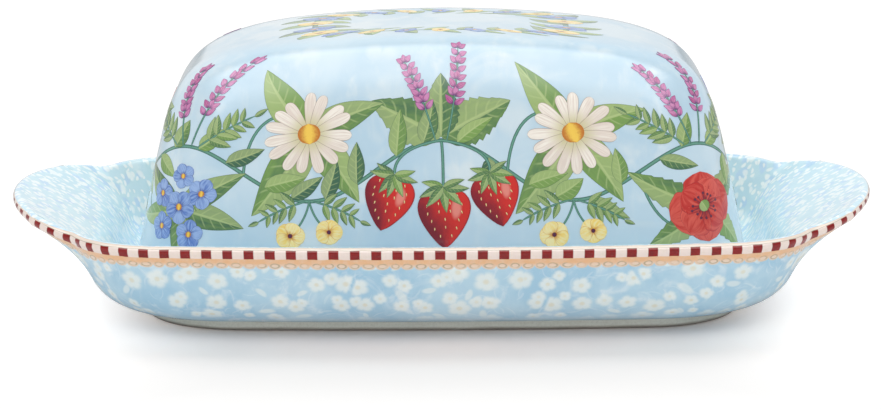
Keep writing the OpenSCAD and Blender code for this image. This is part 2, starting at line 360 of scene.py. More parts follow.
class DishRings:
    """Rings of the dish, from under its middle over the foot, the skin and the lip to its floor."""
    POLE = 0.03               # size of the first and last ring, as a share of the one around it
    FOOT_SLOPE = 1 * MM       # how far the foot's inner side leans
    BELLY_N = 16
    SIDE_N = 18
    LIP_N = 14
    FLOOR_EDGE = 5 * MM
    FLOOR_SHEET = 0.4         # where the floor lies on the surface map
    CREST_FADE = 0.5 * MM
    EAR_GAIN = 1.6

    def __init__(self, form):
        self.form = form
        self.columns = ring_columns(form.notch_t, end_n=18, notch_n=22, turn_n=26, side_n=28)
        self.ear = form.ear(self.columns)
        self.rings = []
        self.add_foot()
        self.add_skin()
        self.add_lip()
        self.add_inside()
        self.table = np.array(self.rings)
        self.rim_run = ring_lengths(self.table)[self.rim]
        self.rim_length = self.rim_run[-1] - self.rim_run[0]

    def foot_ring(self, inset, z):
        """A ring of the foot, inset from its outer edge."""
        form = self.form
        a = form.a - form.run - FOOT_LEDGE - inset
        b = form.b - form.run - FOOT_LEDGE - inset
        return form.ring(self.columns, a, b, form.sizes.foot_r - inset, z)

    def floor_ring(self, inset, z):
        """A ring of the floor, inset from its edge and raised a little."""
        form = self.form
        a, b = form.a - form.floor_in - inset, form.b - form.floor_in - inset
        return form.ring(self.columns, a, b, form.floor_r - inset, form.floor_z + z)

    def add_foot(self):
        """The hollow and the ring that the dish stands on, as insets and heights."""
        s = self.form.sizes
        inner = s.foot_t + self.FOOT_SLOPE
        hollow = self.foot_ring(inner, s.foot_hollow)
        self.rings += [hollow * [k, k, 1] for k in (self.POLE, 0.35, 0.7, 0.95)]
        inside = (
            (inner - 0.1 * MM, s.foot_hollow - 0.1 * MM),
            (inner - 0.4 * MM, s.foot_hollow - 0.8 * MM),
            (s.foot_t - 0.1 * MM, 0.5 * MM),
            (s.foot_t - 0.3 * MM, 0.12 * MM),
            (s.foot_t - 0.7 * MM, 0),
        )
        outside = (
            (1.3 * MM, 0),
            (0.75 * MM, 0.12 * MM),
            (0.3 * MM, 0.45 * MM),
            (0, 1.1 * MM),
            (0, s.foot_h - 0.5 * MM),
            (-0.1 * MM, s.foot_h - 0.15 * MM),
        )
        self.rings += [self.foot_ring(inset, z) for inset, z in inside]
        self.foot = len(self.rings)
        self.rings += [self.foot_ring(inset, z) for inset, z in outside]

    def add_skin(self):
        """The belly and the straight side."""
        belly = np.linspace(0.06, 1, self.BELLY_N)
        side = np.linspace(1, 2, self.SIDE_N + 1)[1:]
        self.rings += [self.form.skin(self.columns, self.ear, q) for q in (*belly, *side)]
        self.rim = len(self.rings) - 1

    def add_lip(self):
        """The half round of the lip."""
        upward, outward = self.form.outward(self.columns, self.ear, 2)
        rim = self.rings[self.rim]
        for t in np.linspace(0, math.pi, self.LIP_N + 1)[1:]:
            step = (math.cos(t) - 1) * outward + math.sin(t) * upward
            self.rings.append(rim + self.form.sizes.wall / 2 * step)
        self.crest = self.rim + self.LIP_N // 2
        self.lip_end = len(self.rings)

    def add_inside(self):
        """The inner wall and the floor."""
        form = self.form
        side = np.linspace(2, 1, self.SIDE_N + 1)[1:]
        belly = np.linspace(1, form.floor_q, 13)[1:-1]
        for q in (*side, *belly):
            _, outward = form.outward(self.columns, self.ear, q)
            self.rings.append(form.skin(self.columns, self.ear, q) - form.sizes.wall * outward)
        self.floor = len(self.rings)
        edge = ((0.15 * MM, 0.12 * MM), (0.7 * MM, 0.02 * MM), (1.4 * MM, 0), (self.FLOOR_EDGE, 0))
        self.rings += [self.floor_ring(inset, z) for inset, z in edge]
        self.rings += [self.floor_ring(self.FLOOR_EDGE, 0) * [k, k, 1] for k in (0.7, 0.35, self.POLE)]

    def turns(self):
        """Share of the way round the rim, kept square to the rim on the outside."""
        turn = np.tile((self.rim_run - self.rim_run[0]) / self.rim_length, (len(self.rings), 1))
        rim = self.rings[self.rim]
        edge_way = unit(np.roll(rim, -1, 0) - np.roll(rim, 1, 0))
        skew = np.sum((self.table[:self.lip_end] - rim) * edge_way, 2) / self.rim_length
        turn[:self.lip_end] += closed(skew)
        return turn

    def rim_map(self, ear_shift):
        """Share of the way round, and the way down from the crest, which runs ahead on the ears."""
        down = column_lengths(self.table, self.crest)
        ahead = ear_shift * np.minimum(1, self.EAR_GAIN * np.append(self.ear, self.ear[0]))
        return self.turns(), down + ahead * np.clip(1 + down / self.CREST_FADE, 0, 1)

    def surface_map(self):
        """Metres round and down the walls; the floor is seen flat, on a sheet of its own.

        Under the foot the way along the dish takes the place of the way round.
        """
        across = ring_lengths(self.table)
        across[:self.lip_end] = self.turns()[:self.lip_end] * self.rim_length
        down = column_lengths(self.table, self.crest)
        flat = closed(self.table)
        across[:self.foot] = flat[:self.foot, :, 0]
        across[self.floor:] = flat[self.floor:, :, 0]
        down[self.floor:] = flat[self.floor:, :, 1] + self.FLOOR_SHEET
        return across, down


class LidForm:
    """The lid's own measures, and the way on to its surface."""
    POLE = math.radians(89.4)
    OUTER_N = 100
    INNER_N = 44
    EDGE_TURNS = (22, 45, 68, 90)
    TOP_START = 62 * MM       # way up the profile at which the top starts
    TOP_SHEET = 0.5           # where the top lies on the surface map

    def __init__(self, sizes, dish):
        self.sizes = sizes
        self.dish = dish
        self.a = dish.a - dish.floor_in - sizes.gap
        self.b = dish.b - dish.floor_in - sizes.gap
        self.base_z = dish.floor_z
        self.columns = ring_columns(math.radians(45), end_n=16, notch_n=24, turn_n=24, side_n=32)

    def profile(self, t, h):
        """Share of the ring's size and height at the angle t up the profile."""
        power = self.sizes.shoulder
        k = (np.cos(t) ** power + np.sin(t) ** power) ** (-1 / power)
        return k * np.cos(t), h * k * np.sin(t)

    def even_angles(self, h, start, end, count):
        """Angles that divide the profile into steps of equal length, and its whole length."""
        t = np.linspace(start, end, PROFILE_STEPS)
        share, z = self.profile(t, h)
        out = (self.b - z * math.tan(self.sizes.lean)) * share
        run = np.concatenate([[0], np.cumsum(np.hypot(np.diff(out), np.diff(z)))])
        return np.interp(np.linspace(0, run[-1], count), run, t), run[-1]

    def dome_ring(self, t, inset, h):
        """A ring of the dome at the angle t up the profile, arched along the lid."""
        share, z = self.profile(t, h)
        inward = inset + z * math.tan(self.sizes.lean)
        ring = self.dish.ring(self.columns, (self.a - inward) * share, (self.b - inward) * share,
                              (self.sizes.corner - inward) * share, self.base_z + z, share)
        ring[:, 2] -= self.sizes.arch * (z / h * ring[:, 0] / self.a) ** 2
        return ring

    def edge_ring(self, t, inset, side):
        """A ring of the rounded lower edge; side is 1 on the outside and -1 on the inside."""
        edge = self.sizes.edge
        inset = inset + side * edge * (1 - math.cos(t))
        a, b, r = self.a - inset, self.b - inset, self.sizes.corner - inset
        return self.dish.ring(self.columns, a, b, r, self.base_z + edge * (1 - math.sin(t)))

    def shell_rings(self):
        """Rings from the inside's middle to the edge and up the outside, and the outside's first one."""
        s = self.sizes
        start = math.atan(s.edge / s.height)
        inner_h, outer_h = s.height - s.wall, s.height - s.paint
        inner, _ = self.even_angles(inner_h, start, self.POLE, self.INNER_N)
        outer, _ = self.even_angles(outer_h, start, self.POLE, self.OUTER_N)
        turns = [math.radians(t) for t in self.EDGE_TURNS]
        rings = [self.dome_ring(t, s.wall, inner_h) for t in inner[::-1]]
        rings += [self.edge_ring(t, s.wall, -1) for t in turns]
        rings += [self.edge_ring(t, s.paint, 1) for t in turns[::-1]]
        below = len(rings)
        rings += [self.dome_ring(t, s.paint, outer_h) for t in outer]
        return rings, below

    def surface_map(self, rings, below):
        """Metres round and up the outside; the top is seen flat, on a sheet of its own."""
        table = np.array(rings)
        flat = closed(table)
        up = -column_lengths(table, below)
        across = np.tile(ring_lengths(table)[below + self.OUTER_N // 3], (len(rings), 1))
        for j in range(below, len(rings)):
            if up[j, 0] > self.TOP_START:
                across[j], up[j] = flat[j, :, 0], flat[j, :, 1] + self.TOP_SHEET
        return across, up


# Meshes

def extrude_loop(bm, ring):
    """Extrudes a closed ring, and returns the new vertices."""
    edges = [bm.edges.get(pair) for pair in zip(ring, ring[1:] + ring[:1])]
    made = bmesh.ops.extrude_edge_only(bm, edges=edges)["geom"]
    return [v for v in made if isinstance(v, bmesh.types.BMVert)]


def loft(bm, rings):
    """Skins a list of rings by extruding edge loops, and returns the vertices as rows."""
    ring = bmesh.ops.create_circle(bm, cap_ends=False, radius=1, segments=len(rings[0]))["verts"]
    rows = []
    for points in rings:
        if rows:
            made = set(extrude_loop(bm, ring))
            ring = [next(e.other_vert(v) for e in v.link_edges if e.other_vert(v) in made) for v in ring]
        for vert, point in zip(ring, points):
            vert.co = point
        rows.append(ring)
    return rows


def close_pole(bm, ring):
    """Closes a small ring in one point."""
    middle = sum((v.co for v in ring), Vector()) / len(ring)
    bmesh.ops.pointmerge(bm, verts=extrude_loop(bm, ring), merge_co=middle)


def close_shell(bm, rows):
    """Closes the first and the last row, and turns all faces outwards."""
    close_pole(bm, rows[0])
    close_pole(bm, rows[-1])
    bmesh.ops.recalc_face_normals(bm, faces=bm.faces)


def lay_uv(bm, rows, name, across, along):
    """Writes a UV map from two tables: a value for each row and column, and one column more at the seam."""
    layer = bm.loops.layers.uv.new(name)
    place = {vert: (j, i) for j, row in enumerate(rows) for i, vert in enumerate(row)}
    seam = len(rows[0]) - 1
    for face in bm.faces:
        spots = [place.get(loop.vert) for loop in face.loops]
        if None in spots:
            continue
        wraps = any(i == seam for _, i in spots)
        for loop, (j, i) in zip(face.loops, spots):
            if wraps and i == 0:
                i = seam + 1
            loop[layer].uv = (across[j, i], along[j, i])


def finish_piece(bm, name, material, body, replaces=None):
    """Turns a bmesh into a smooth object that rides on a body."""
    mesh = bpy.data.meshes.new(name)
    bm.to_mesh(mesh)
    bm.free()
    mesh.shade_smooth()
    mesh.materials.append(material)
    piece = bpy.data.objects.new(name, mesh)
    bpy.context.scene.collection.objects.link(piece)
    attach(piece, body)
    if replaces:
        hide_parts(replaces)
    return piece


# Materials

class Graph:
    """Short calls that add nodes to a tree and link them."""

    def __init__(self, tree):
        self.tree = tree

    def node(self, kind, **values):
        """A new node with its settings."""
        made = self.tree.nodes.new(kind)
        for key, value in values.items():
            setattr(made, key, value)
        return made

    def put(self, socket, value):
        """Links a socket to another one, or sets its own value."""
        if isinstance(value, NodeSocket):
            self.tree.links.new(value, socket)
        elif hasattr(value, "__len__") and len(socket.default_value) == 4 and len(value) == 3:
            socket.default_value = (*value, 1)
        else:
            socket.default_value = value

    def fill(self, sockets, *values):
        """Puts a value in each of several sockets."""
        for socket, value in zip(sockets, values):
            self.put(socket, value)

    def math(self, operation, *values, clamp=False):
        """A calculation with numbers."""
        made = self.node("ShaderNodeMath", operation=operation, use_clamp=clamp)
        self.fill(made.inputs, *values)
        return made.outputs[0]

    def times(self, a, b, clamp=False):
        return self.math("MULTIPLY", a, b, clamp=clamp)

    def over(self, a, b, clamp=False):
        return self.math("DIVIDE", a, b, clamp=clamp)

    def plus(self, a, b):
        return self.math("ADD", a, b)

    def minus(self, a, b):
        return self.math("SUBTRACT", a, b)

    def most(self, a, b):
        return self.math("MAXIMUM", a, b)

    def squares(self, x, y):
        """The square of the distance of x and y from the origin."""
        return self.plus(self.times(x, x), self.times(y, y))

    def vector(self, operation, *values):
        """A calculation with vectors."""
        made = self.node("ShaderNodeVectorMath", operation=operation)
        self.fill(made.inputs, *values)
        return made.outputs[0]

    def scaled(self, vector, scale):
        """A vector times a number."""
        made = self.node("ShaderNodeVectorMath", operation="SCALE")
        self.fill((made.inputs["Vector"], made.inputs["Scale"]), vector, scale)
        return made.outputs[0]

    def reach(self, vector):
        """Length of a vector."""
        made = self.node("ShaderNodeVectorMath", operation="LENGTH")
        self.put(made.inputs[0], vector)
        return made.outputs["Value"]

    def mix(self, factor, a, b):
        """A mix of two colours."""
        made = self.node("ShaderNodeMix", data_type="RGBA")
        self.fill(made.inputs[:1] + made.inputs[6:8], factor, a, b)
        return made.outputs[2]

    def blend(self, factor, a, b):
        """A mix of two numbers."""
        made = self.node("ShaderNodeMix", data_type="FLOAT")
        self.fill(made.inputs[:1] + made.inputs[2:4], factor, a, b)
        return made.outputs[0]

    def step(self, value, low, high, to_low=0.0, to_high=1.0):
        """A soft step of value from low to high."""
        made = self.node("ShaderNodeMapRange", interpolation_type="SMOOTHSTEP")
        self.fill(made.inputs, value, low, high, to_low, to_high)
        return made.outputs[0]

    def band(self, value, low, high, soft):
        """1 between low and high, with soft edges."""
        start = self.step(value, low - soft, low + soft)
        return self.times(start, self.step(value, high + soft, high - soft))

    def noise(self, vector, scale, detail=2.0, roughness=0.5, distortion=0.0, dims="3D"):
        """A cloudy noise between 0 and 1."""
        made = self.node("ShaderNodeTexNoise", noise_dimensions=dims)
        keys = ("Vector", "Scale", "Detail", "Roughness", "Distortion")
        self.fill([made.inputs[key] for key in keys], vector, scale, detail, roughness, distortion)
        return made.outputs[0]

    def parts(self, vector):
        """The three parts of a vector."""
        made = self.node("ShaderNodeSeparateXYZ")
        self.put(made.inputs[0], vector)
        return made.outputs

    def join(self, x, y, z=0.0):
        """A vector of three parts."""
        made = self.node("ShaderNodeCombineXYZ")
        self.fill(made.inputs, x, y, z)
        return made.outputs[0]

    def uv(self, name):
        """Place on a UV map."""
        return self.node("ShaderNodeUVMap", uv_map=name).outputs[0]

    def place(self):
        """Place in the frame."""
        return self.node("ShaderNodeTexCoord").outputs["Object"]

    def group(self, tree, **values):
        """A node group with its inputs, and its outputs."""
        made = self.node("ShaderNodeGroup", node_tree=tree)
        for key, value in values.items():
            self.put(made.inputs[key], value)
        return made.outputs


def new_group(name, inputs, outputs):
    """A node group with named sockets, its input sockets and a call that fills its outputs."""
    tree = bpy.data.node_groups.new(name, "ShaderNodeTree")
    for key, kind, default in inputs:
        made = tree.interface.new_socket(key, in_out="INPUT", socket_type="NodeSocket" + kind)
        made.default_value = default
    for key, kind in outputs:
        tree.interface.new_socket(key, in_out="OUTPUT", socket_type="NodeSocket" + kind)
    graph = Graph(tree)
    taken = graph.node("NodeGroupInput").outputs
    given = graph.node("NodeGroupOutput").inputs
    return tree, graph, taken, lambda key, value: graph.put(given[key], value)


def shared_group(name, build):
    """The node group of that name, built the first time it is asked for."""
    return bpy.data.node_groups.get(name) or build(name)


def build_scatter(name):
    """Strews turned spots over a plane.

    It puts out the place within the nearest spot, two chance values for it, and the room it has, which
    fades to 0 at the border with the next spot.
    """
    scatter, border_fade = 0.72, 0.12
    tree, g, taken, give = new_group(
        name,
        [("Vector", "Vector", (0, 0, 0)), ("Cell", "Float", 0.01), ("Shift", "Float", 0.0),
         ("Spread", "Float", math.tau)],
        [("Local", "Vector"), ("Chance", "Float"), ("Other", "Float"), ("Room", "Float")])
    cell, shift = taken["Cell"], taken["Shift"]
    grid = g.vector("DIVIDE", taken["Vector"], g.join(cell, cell, 1.0))
    grid = g.vector("ADD", grid, g.join(shift, shift))
    spots = g.node("ShaderNodeTexVoronoi", voronoi_dimensions="2D", feature="F1")
    border = g.node("ShaderNodeTexVoronoi", voronoi_dimensions="2D", feature="DISTANCE_TO_EDGE")
    for texture in (spots, border):
        g.put(texture.inputs["Vector"], grid)
        texture.inputs["Scale"].default_value = 1
        texture.inputs["Randomness"].default_value = scatter
    chance = g.parts(spots.outputs["Color"])
    offset = g.scaled(g.vector("SUBTRACT", grid, spots.outputs["Position"]), cell)
    turn = g.node("ShaderNodeVectorRotate", rotation_type="Z_AXIS")
    g.put(turn.inputs["Vector"], offset)
    g.put(turn.inputs["Angle"], g.times(g.minus(chance[0], 0.5), taken["Spread"]))
    give("Local", turn.outputs[0])
    give("Chance", chance[1])
    give("Other", chance[2])
    give("Room", g.step(border.outputs["Distance"], 0.0, border_fade))
    return tree


def build_blossom(name):
    """Masks of a round-petalled blossom at the origin of a plane: petals and heart."""
    roundness, heart_out, heart_in = 0.6, 0.3, 0.08
    tree, g, taken, give = new_group(
        name,
        [("Local", "Vector", (0, 0, 0)), ("Radius", "Float", 2.5 * MM), ("Petals", "Float", 5.0),
         ("Soft", "Float", 0.2), ("Cut", "Float", 0.25)],
        [("Mask", "Float"), ("Heart", "Float")])
    local = g.parts(taken["Local"])
    reach = g.over(g.reach(taken["Local"]), taken["Radius"])
    turn = g.times(g.math("ARCTAN2", local[1], local[0]), g.times(taken["Petals"], 0.5))
    lobe = g.math("POWER", g.math("ABSOLUTE", g.math("COSINE", turn)), roundness)
    edge = g.plus(g.minus(1.0, taken["Cut"]), g.times(lobe, taken["Cut"]))
    mask = g.over(g.minus(edge, reach), taken["Soft"], clamp=True)
    give("Mask", g.step(mask, 0.0, 1.0))
    give("Heart", g.step(reach, heart_out, heart_in))
    return tree


def build_wash(name):
    """A watercolour wash of three tones, with clouds and brush streaks."""
    patches, streaks, streak_long, pale_most = 2.6, 9.0, 0.22, 0.6
    tree, g, taken, give = new_group(
        name,
        [("Vector", "Vector", (0, 0, 0)), ("Deep", "Color", (0, 0, 0, 1)),
         ("Middle", "Color", (0, 0, 0, 1)), ("Pale", "Color", (1, 1, 1, 1)),
         ("Clouds", "Float", 28.0), ("Streaks", "Float", 0.5)],
        [("Colour", "Color")])
    place, scale = taken["Vector"], taken["Clouds"]
    cloud = g.noise(place, scale, 4, 0.55, 0.4)
    patch = g.noise(place, g.times(scale, patches), 3, 0.6, 0.8)
    drawn = g.vector("MULTIPLY", place, (1.0, 1.0, streak_long))
    streak = g.noise(drawn, g.times(scale, streaks), 3, 0.6)
    base = g.mix(g.step(cloud, 0.38, 0.62), taken["Deep"], taken["Middle"])
    light = g.plus(g.step(patch, 0.5, 0.75), g.times(g.step(streak, 0.5, 0.8), taken["Streaks"]))
    give("Colour", g.mix(g.times(light, pale_most, clamp=True), base, taken["Pale"]))
    return tree


def build_glaze(name):
    """Surface of a fired glaze: roughness with faint handling marks, and its slight swell."""
    marks, pit_depth = 0.06, 0.03
    tree, g, taken, give = new_group(
        name,
        [("Vector", "Vector", (0, 0, 0)), ("Gloss", "Float", 0.1)],
        [("Roughness", "Float"), ("Height", "Float")])
    haze = g.noise(taken["Vector"], 60, 4, 0.6)
    give("Roughness", g.plus(taken["Gloss"], g.step(haze, 0.45, 0.8, 0.0, marks)))
    swell = g.noise(taken["Vector"], 42, 1, 0.4)
    pits = g.noise(taken["Vector"], 900, 2, 0.5)
    give("Height", g.plus(swell, g.times(pits, pit_depth)))
    return tree


GLAZE_IOR = 1.5
GLAZE_SWELL = 0.12 * MM
GLAZE_GLOSS = 0.1
ENAMEL_GLOSS = 0.12
COAT = 0.35
COAT_GLOSS = 0.03
CLAY_ROUGH = 0.8


def new_material(name):
    """A material, its graph and its shader."""
    material = bpy.data.materials.new(name)
    material.use_nodes = True
    shader = material.node_tree.nodes["Principled BSDF"]
    shader.inputs["IOR"].default_value = GLAZE_IOR
    return material, Graph(material.node_tree), shader


def glaze_finish(g, shader, gloss):
    """Joins the fired glaze's coat and swell to a shader, and returns its roughness."""
    fired = g.group(shared_group("Fired glaze", build_glaze), Vector=g.place(), Gloss=gloss)
    bump = g.node("ShaderNodeBump")
    bump.inputs["Distance"].default_value = GLAZE_SWELL
    bump.inputs["Strength"].default_value = 1
    g.put(bump.inputs["Height"], fired["Height"])
    g.put(shader.inputs["Normal"], bump.outputs[0])
    shader.inputs["Coat Weight"].default_value = COAT
    shader.inputs["Coat Roughness"].default_value = COAT_GLOSS
    return fired["Roughness"]


def wash_colour(g, place, deep, middle, pale, clouds, streaks):
    """Colour of a wash; clouds is their scale, streaks their strength."""
    wash = g.group(shared_group("Wash", build_wash), Vector=place, Deep=deep, Middle=middle, Pale=pale,
                   Clouds=clouds, Streaks=streaks)
    return wash["Colour"]


def blossom_layer(g, vector, cell, shift, radius, petals, soft, share, cut):
    """One layer of strewn blossoms: petal mask and heart mask."""
    spot = g.group(shared_group("Strewn spots", build_scatter), Vector=vector, Cell=cell, Shift=shift)
    size = g.times(g.plus(0.75, g.times(spot["Other"], 0.45)), radius)
    bloom = g.group(shared_group("Blossom", build_blossom), Local=spot["Local"], Radius=size, Petals=petals,
                    Soft=soft, Cut=cut)
    here = g.times(g.math("LESS_THAN", spot["Chance"], share), spot["Room"])
    return g.times(bloom["Mask"], here), g.times(bloom["Heart"], here)


def stroke_layer(g, vector, cell, shift, long, wide, share, bend, spread=math.tau):
    """One layer of strewn brush strokes, as a mask: half lengths, half widths and how far they turn."""
    spot = g.group(shared_group("Strewn spots", build_scatter), Vector=vector, Cell=cell, Shift=shift,
                   Spread=spread)
    local = g.parts(spot["Local"])
    size = g.plus(0.7, g.times(spot["Other"], 0.6))
    x = g.over(local[0], g.times(size, long))
    curl = g.times(g.times(x, x), wide * bend)
    y = g.over(g.minus(local[1], curl), g.times(size, wide))
    here = g.times(g.math("LESS_THAN", spot["Chance"], share), spot["Room"])
    return g.times(g.step(g.squares(x, y), 1.0, 0.2), here)


def outside_blossoms(g, colours, surface, plane, outside):
    """Outside of the dish: faint stems, soft round blossoms and half-hidden ones."""
    fine = stroke_layer(
        g, plane, cell=6.2 * MM, shift=3.7, long=3 * MM, wide=0.26 * MM, share=0.7, bend=4.0)
    broad = stroke_layer(
        g, plane, cell=5.4 * MM, shift=17.3, long=2.2 * MM, wide=0.4 * MM, share=0.5, bend=2.0)
    petal_a, heart_a = blossom_layer(
        g, plane, cell=8.4 * MM, shift=7.1, radius=3.4 * MM, petals=5.0, soft=0.46, share=0.86, cut=0.17)
    petal_b, heart_b = blossom_layer(
        g, plane, cell=7.6 * MM, shift=23.9, radius=2.6 * MM, petals=4.0, soft=0.5, share=0.45, cut=0.16)
    oval = stroke_layer(
        g, plane, cell=9.4 * MM, shift=31.7, long=2.6 * MM, wide=1.2 * MM, share=0.5, bend=0.2)
    stems = g.most(fine, broad)
    petals = g.most(g.most(petal_a, petal_b), g.times(oval, 0.75))
    hearts = g.most(heart_a, g.times(heart_b, 0.6))
    coats = (
        (stems, 0.24, colours.dish_pale), (petals, 0.77, colours.blossom), (hearts, 0.5, colours.heart))
    for mask, strength, paint in coats:
        surface = g.mix(g.times(g.times(mask, outside), strength), surface, paint)
    return surface


def inside_dabs(g, colours, surface, plane, fall, within):
    """Inside of the dish: short pale strokes that run from the rim to the floor."""
    sheet_edge = DishRings.FLOOR_SHEET - 0.2
    floor = g.step(g.parts(plane)[1], sheet_edge, sheet_edge + 0.1)
    sheet = g.vector("ADD", g.scaled(fall, g.minus(1.0, floor)), g.scaled(plane, floor))
    deep = stroke_layer(g, sheet, 6 * MM, 47.7, 2.6 * MM, 1.7 * MM, share=0.75, bend=0.4, spread=2.4)
    fine = g.most(
        stroke_layer(g, sheet, 3.5 * MM, 5.9, 1.3 * MM, 0.8 * MM, share=0.8, bend=0.5, spread=2.0),
        stroke_layer(g, sheet, 2.8 * MM, 13.1, 1.0 * MM, 0.6 * MM, share=0.75, bend=0.4, spread=2.4))
    broad = stroke_layer(g, sheet, 5.2 * MM, 29.3, 1.8 * MM, 1.3 * MM, share=0.6, bend=0.4, spread=1.8)
    dabs = g.most(fine, g.times(broad, 0.85))
    for mask, strength, paint in ((deep, 0.4, colours.well_deep), (dabs, 0.85, colours.stroke)):
        surface = g.mix(g.times(g.times(mask, within), strength), surface, paint)
    return surface


def lace_band(g, colours, border, surface, place, loop, v):
    """Apricot band with a scalloped lace edge; loop is the place within a loop of the lace."""
    band_soft, edge_soft, line_soft = 0.1 * MM, 0.25 * MM, 0.2
    eye_wide, eye_high = 0.34, 0.75 * MM
    bow = g.math("SQRT", g.times(g.minus(0.25, g.times(loop, loop)), 4.0))
    scallop = g.minus(v, g.times(bow, border.lace_drop))
    brushed = g.step(g.noise(place, 420, 3, 0.6), 0.35, 0.75, 0.0, 0.3)
    apricot = g.mix(brushed, colours.apricot, colours.cream)
    apricot = g.mix(g.step(v, 4.6 * MM, 6 * MM, 0.0, 0.55), apricot, colours.cream)
    mask = g.times(g.step(v, border.band_top - band_soft, border.band_top + band_soft),
                   g.step(scallop, border.band_end + edge_soft, border.band_end - edge_soft))
    surface = g.mix(g.times(mask, 0.95), surface, apricot)
    patchy = g.step(g.noise(place, 420, 3, 0.65), 0.36, 0.62, 0.1, 0.85)
    eye_x = g.over(loop, eye_wide)
    eye_y = g.over(g.minus(v, border.lace_eye), eye_high)
    eye = g.math("SQRT", g.squares(eye_x, eye_y))
    surface = g.mix(g.times(g.step(eye, 1.0, 0.5), 0.4), surface, colours.cream)
    return g.mix(g.times(g.band(eye, 0.75, 1.1, line_soft), patchy), surface, colours.lace)


def check_squares(g, colours, place, phase):
    """Colour of the checks, and where the dark ones are; phase is the place within a pair of squares."""
    dark_start, dark_end, soft = 0.265, 0.735, 0.018
    dark = g.band(phase, dark_start, dark_end, soft)
    shade = g.noise(place, 700, 3, 0.6)
    red = g.mix(g.step(shade, 0.35, 0.75), colours.red, colours.red_dark)
    white = g.mix(g.step(shade, 0.4, 0.8), colours.white, colours.cream)
    return g.mix(dark, white, red), dark


def painted_border(g, colours, border, surface, place, turn, down, rim_length):
    """Border of the rim: apricot band, checks and cream lip; also where the dark squares are."""
    sway, check_sway, first_check = 0.4 * MM, 120.0, 0.575
    line_soft, crest_soft = 0.06 * MM, 0.1 * MM
    check_count = round(rim_length / border.check)
    lace_count = round(check_count * border.check / border.lace)
    round_x = g.times(turn, rim_length)
    wobble = g.noise(g.join(round_x, 0.0), 260, 2, 0.5, dims="2D")
    hand = g.times(g.minus(wobble, 0.5), sway)
    v = g.plus(down, hand)
    drift = g.times(g.minus(g.noise(g.join(round_x, 0.02), 120, 1, 0.5, dims="2D"), 0.5), 0.5)
    loop = g.minus(g.math("FRACT", g.plus(g.times(turn, lace_count), drift)), 0.5)
    surface = lace_band(g, colours, border, surface, place, loop, v)
    start = g.plus(g.times(hand, check_sway), first_check)
    phase = g.math("FRACT", g.plus(g.times(turn, check_count), start))
    squares, dark = check_squares(g, colours, place, phase)
    checks = g.band(v, border.check_top, border.check_end, line_soft)
    surface = g.mix(checks, surface, squares)
    lip_end = border.check_top
    lip = g.times(g.step(down, lip_end + 0.08 * MM, lip_end - 0.1 * MM), g.step(down, -0.2 * MM, 0.0))
    surface = g.mix(lip, surface, colours.cream)
    line = g.band(v, lip_end - 0.08 * MM, lip_end + 0.1 * MM, line_soft)
    surface = g.mix(g.times(line, 0.7), surface, colours.lace)
    crest = g.band(v, -0.2 * MM, 0.0, crest_soft)
    surface = g.mix(g.times(crest, 0.5), surface, colours.apricot)
    return surface, g.times(checks, dark)


def bare_foot(g, colours, place, height):
    """Clay of the foot, darkened where it stands by wear and painted contact shade, and where it is bare.
    """
    sway = 0.5 * MM
    line = g.plus(height, g.times(g.minus(g.noise(place, 90, 2), 0.5), sway))
    bare = g.step(line, 3.2 * MM, 2.4 * MM)
    grit = g.noise(place, 1500, 4, 0.7)
    clay = g.mix(g.step(grit, 0.35, 0.75, 0.0, 0.4), colours.clay, colours.clay_dark)
    # Painted contact shade and wear: the clay darkens towards the edge the foot stands on
    return g.mix(g.step(line, 1.4 * MM, 0.4 * MM), clay, colours.clay_wear_and_shade), bare


def dish_paint(colours, border, rim_length):
    """Glaze of the dish: blue wash with strewn blossoms, painted border on the rim, bare clay foot."""
    material, g, shader = new_material("dish_glaze")
    place = g.place()
    plane = g.uv("surface")
    turn, down, _ = g.parts(g.uv("rim"))
    height = g.parts(place)[2]
    within = g.step(down, -0.1 * MM, -0.3 * MM)
    outside = g.times(g.step(down, 5.6 * MM, 6.4 * MM), g.step(height, 4.2 * MM, 7.5 * MM))
    surface = wash_colour(
        g, place, colours.dish_deep, colours.dish_mid, colours.dish_pale, clouds=60.0, streaks=0.2)
    surface = g.mix(g.times(within, 0.5), surface, colours.well)
    surface = outside_blossoms(g, colours, surface, plane, outside)
    fall = g.join(down, g.times(turn, rim_length))
    surface = inside_dabs(g, colours, surface, plane, fall, within)
    surface, dark_squares = painted_border(g, colours, border, surface, place, turn, down, rim_length)
    clay, bare = bare_foot(g, colours, place, height)
    g.put(shader.inputs["Base Color"], g.mix(bare, surface, clay))
    gloss = glaze_finish(g, shader, GLAZE_GLOSS)
    g.put(shader.inputs["Coat Weight"], g.step(dark_squares, 0.0, 1.0, COAT, 0.0))
    g.put(shader.inputs["Roughness"], g.blend(bare, gloss, CLAY_ROUGH))
    return material


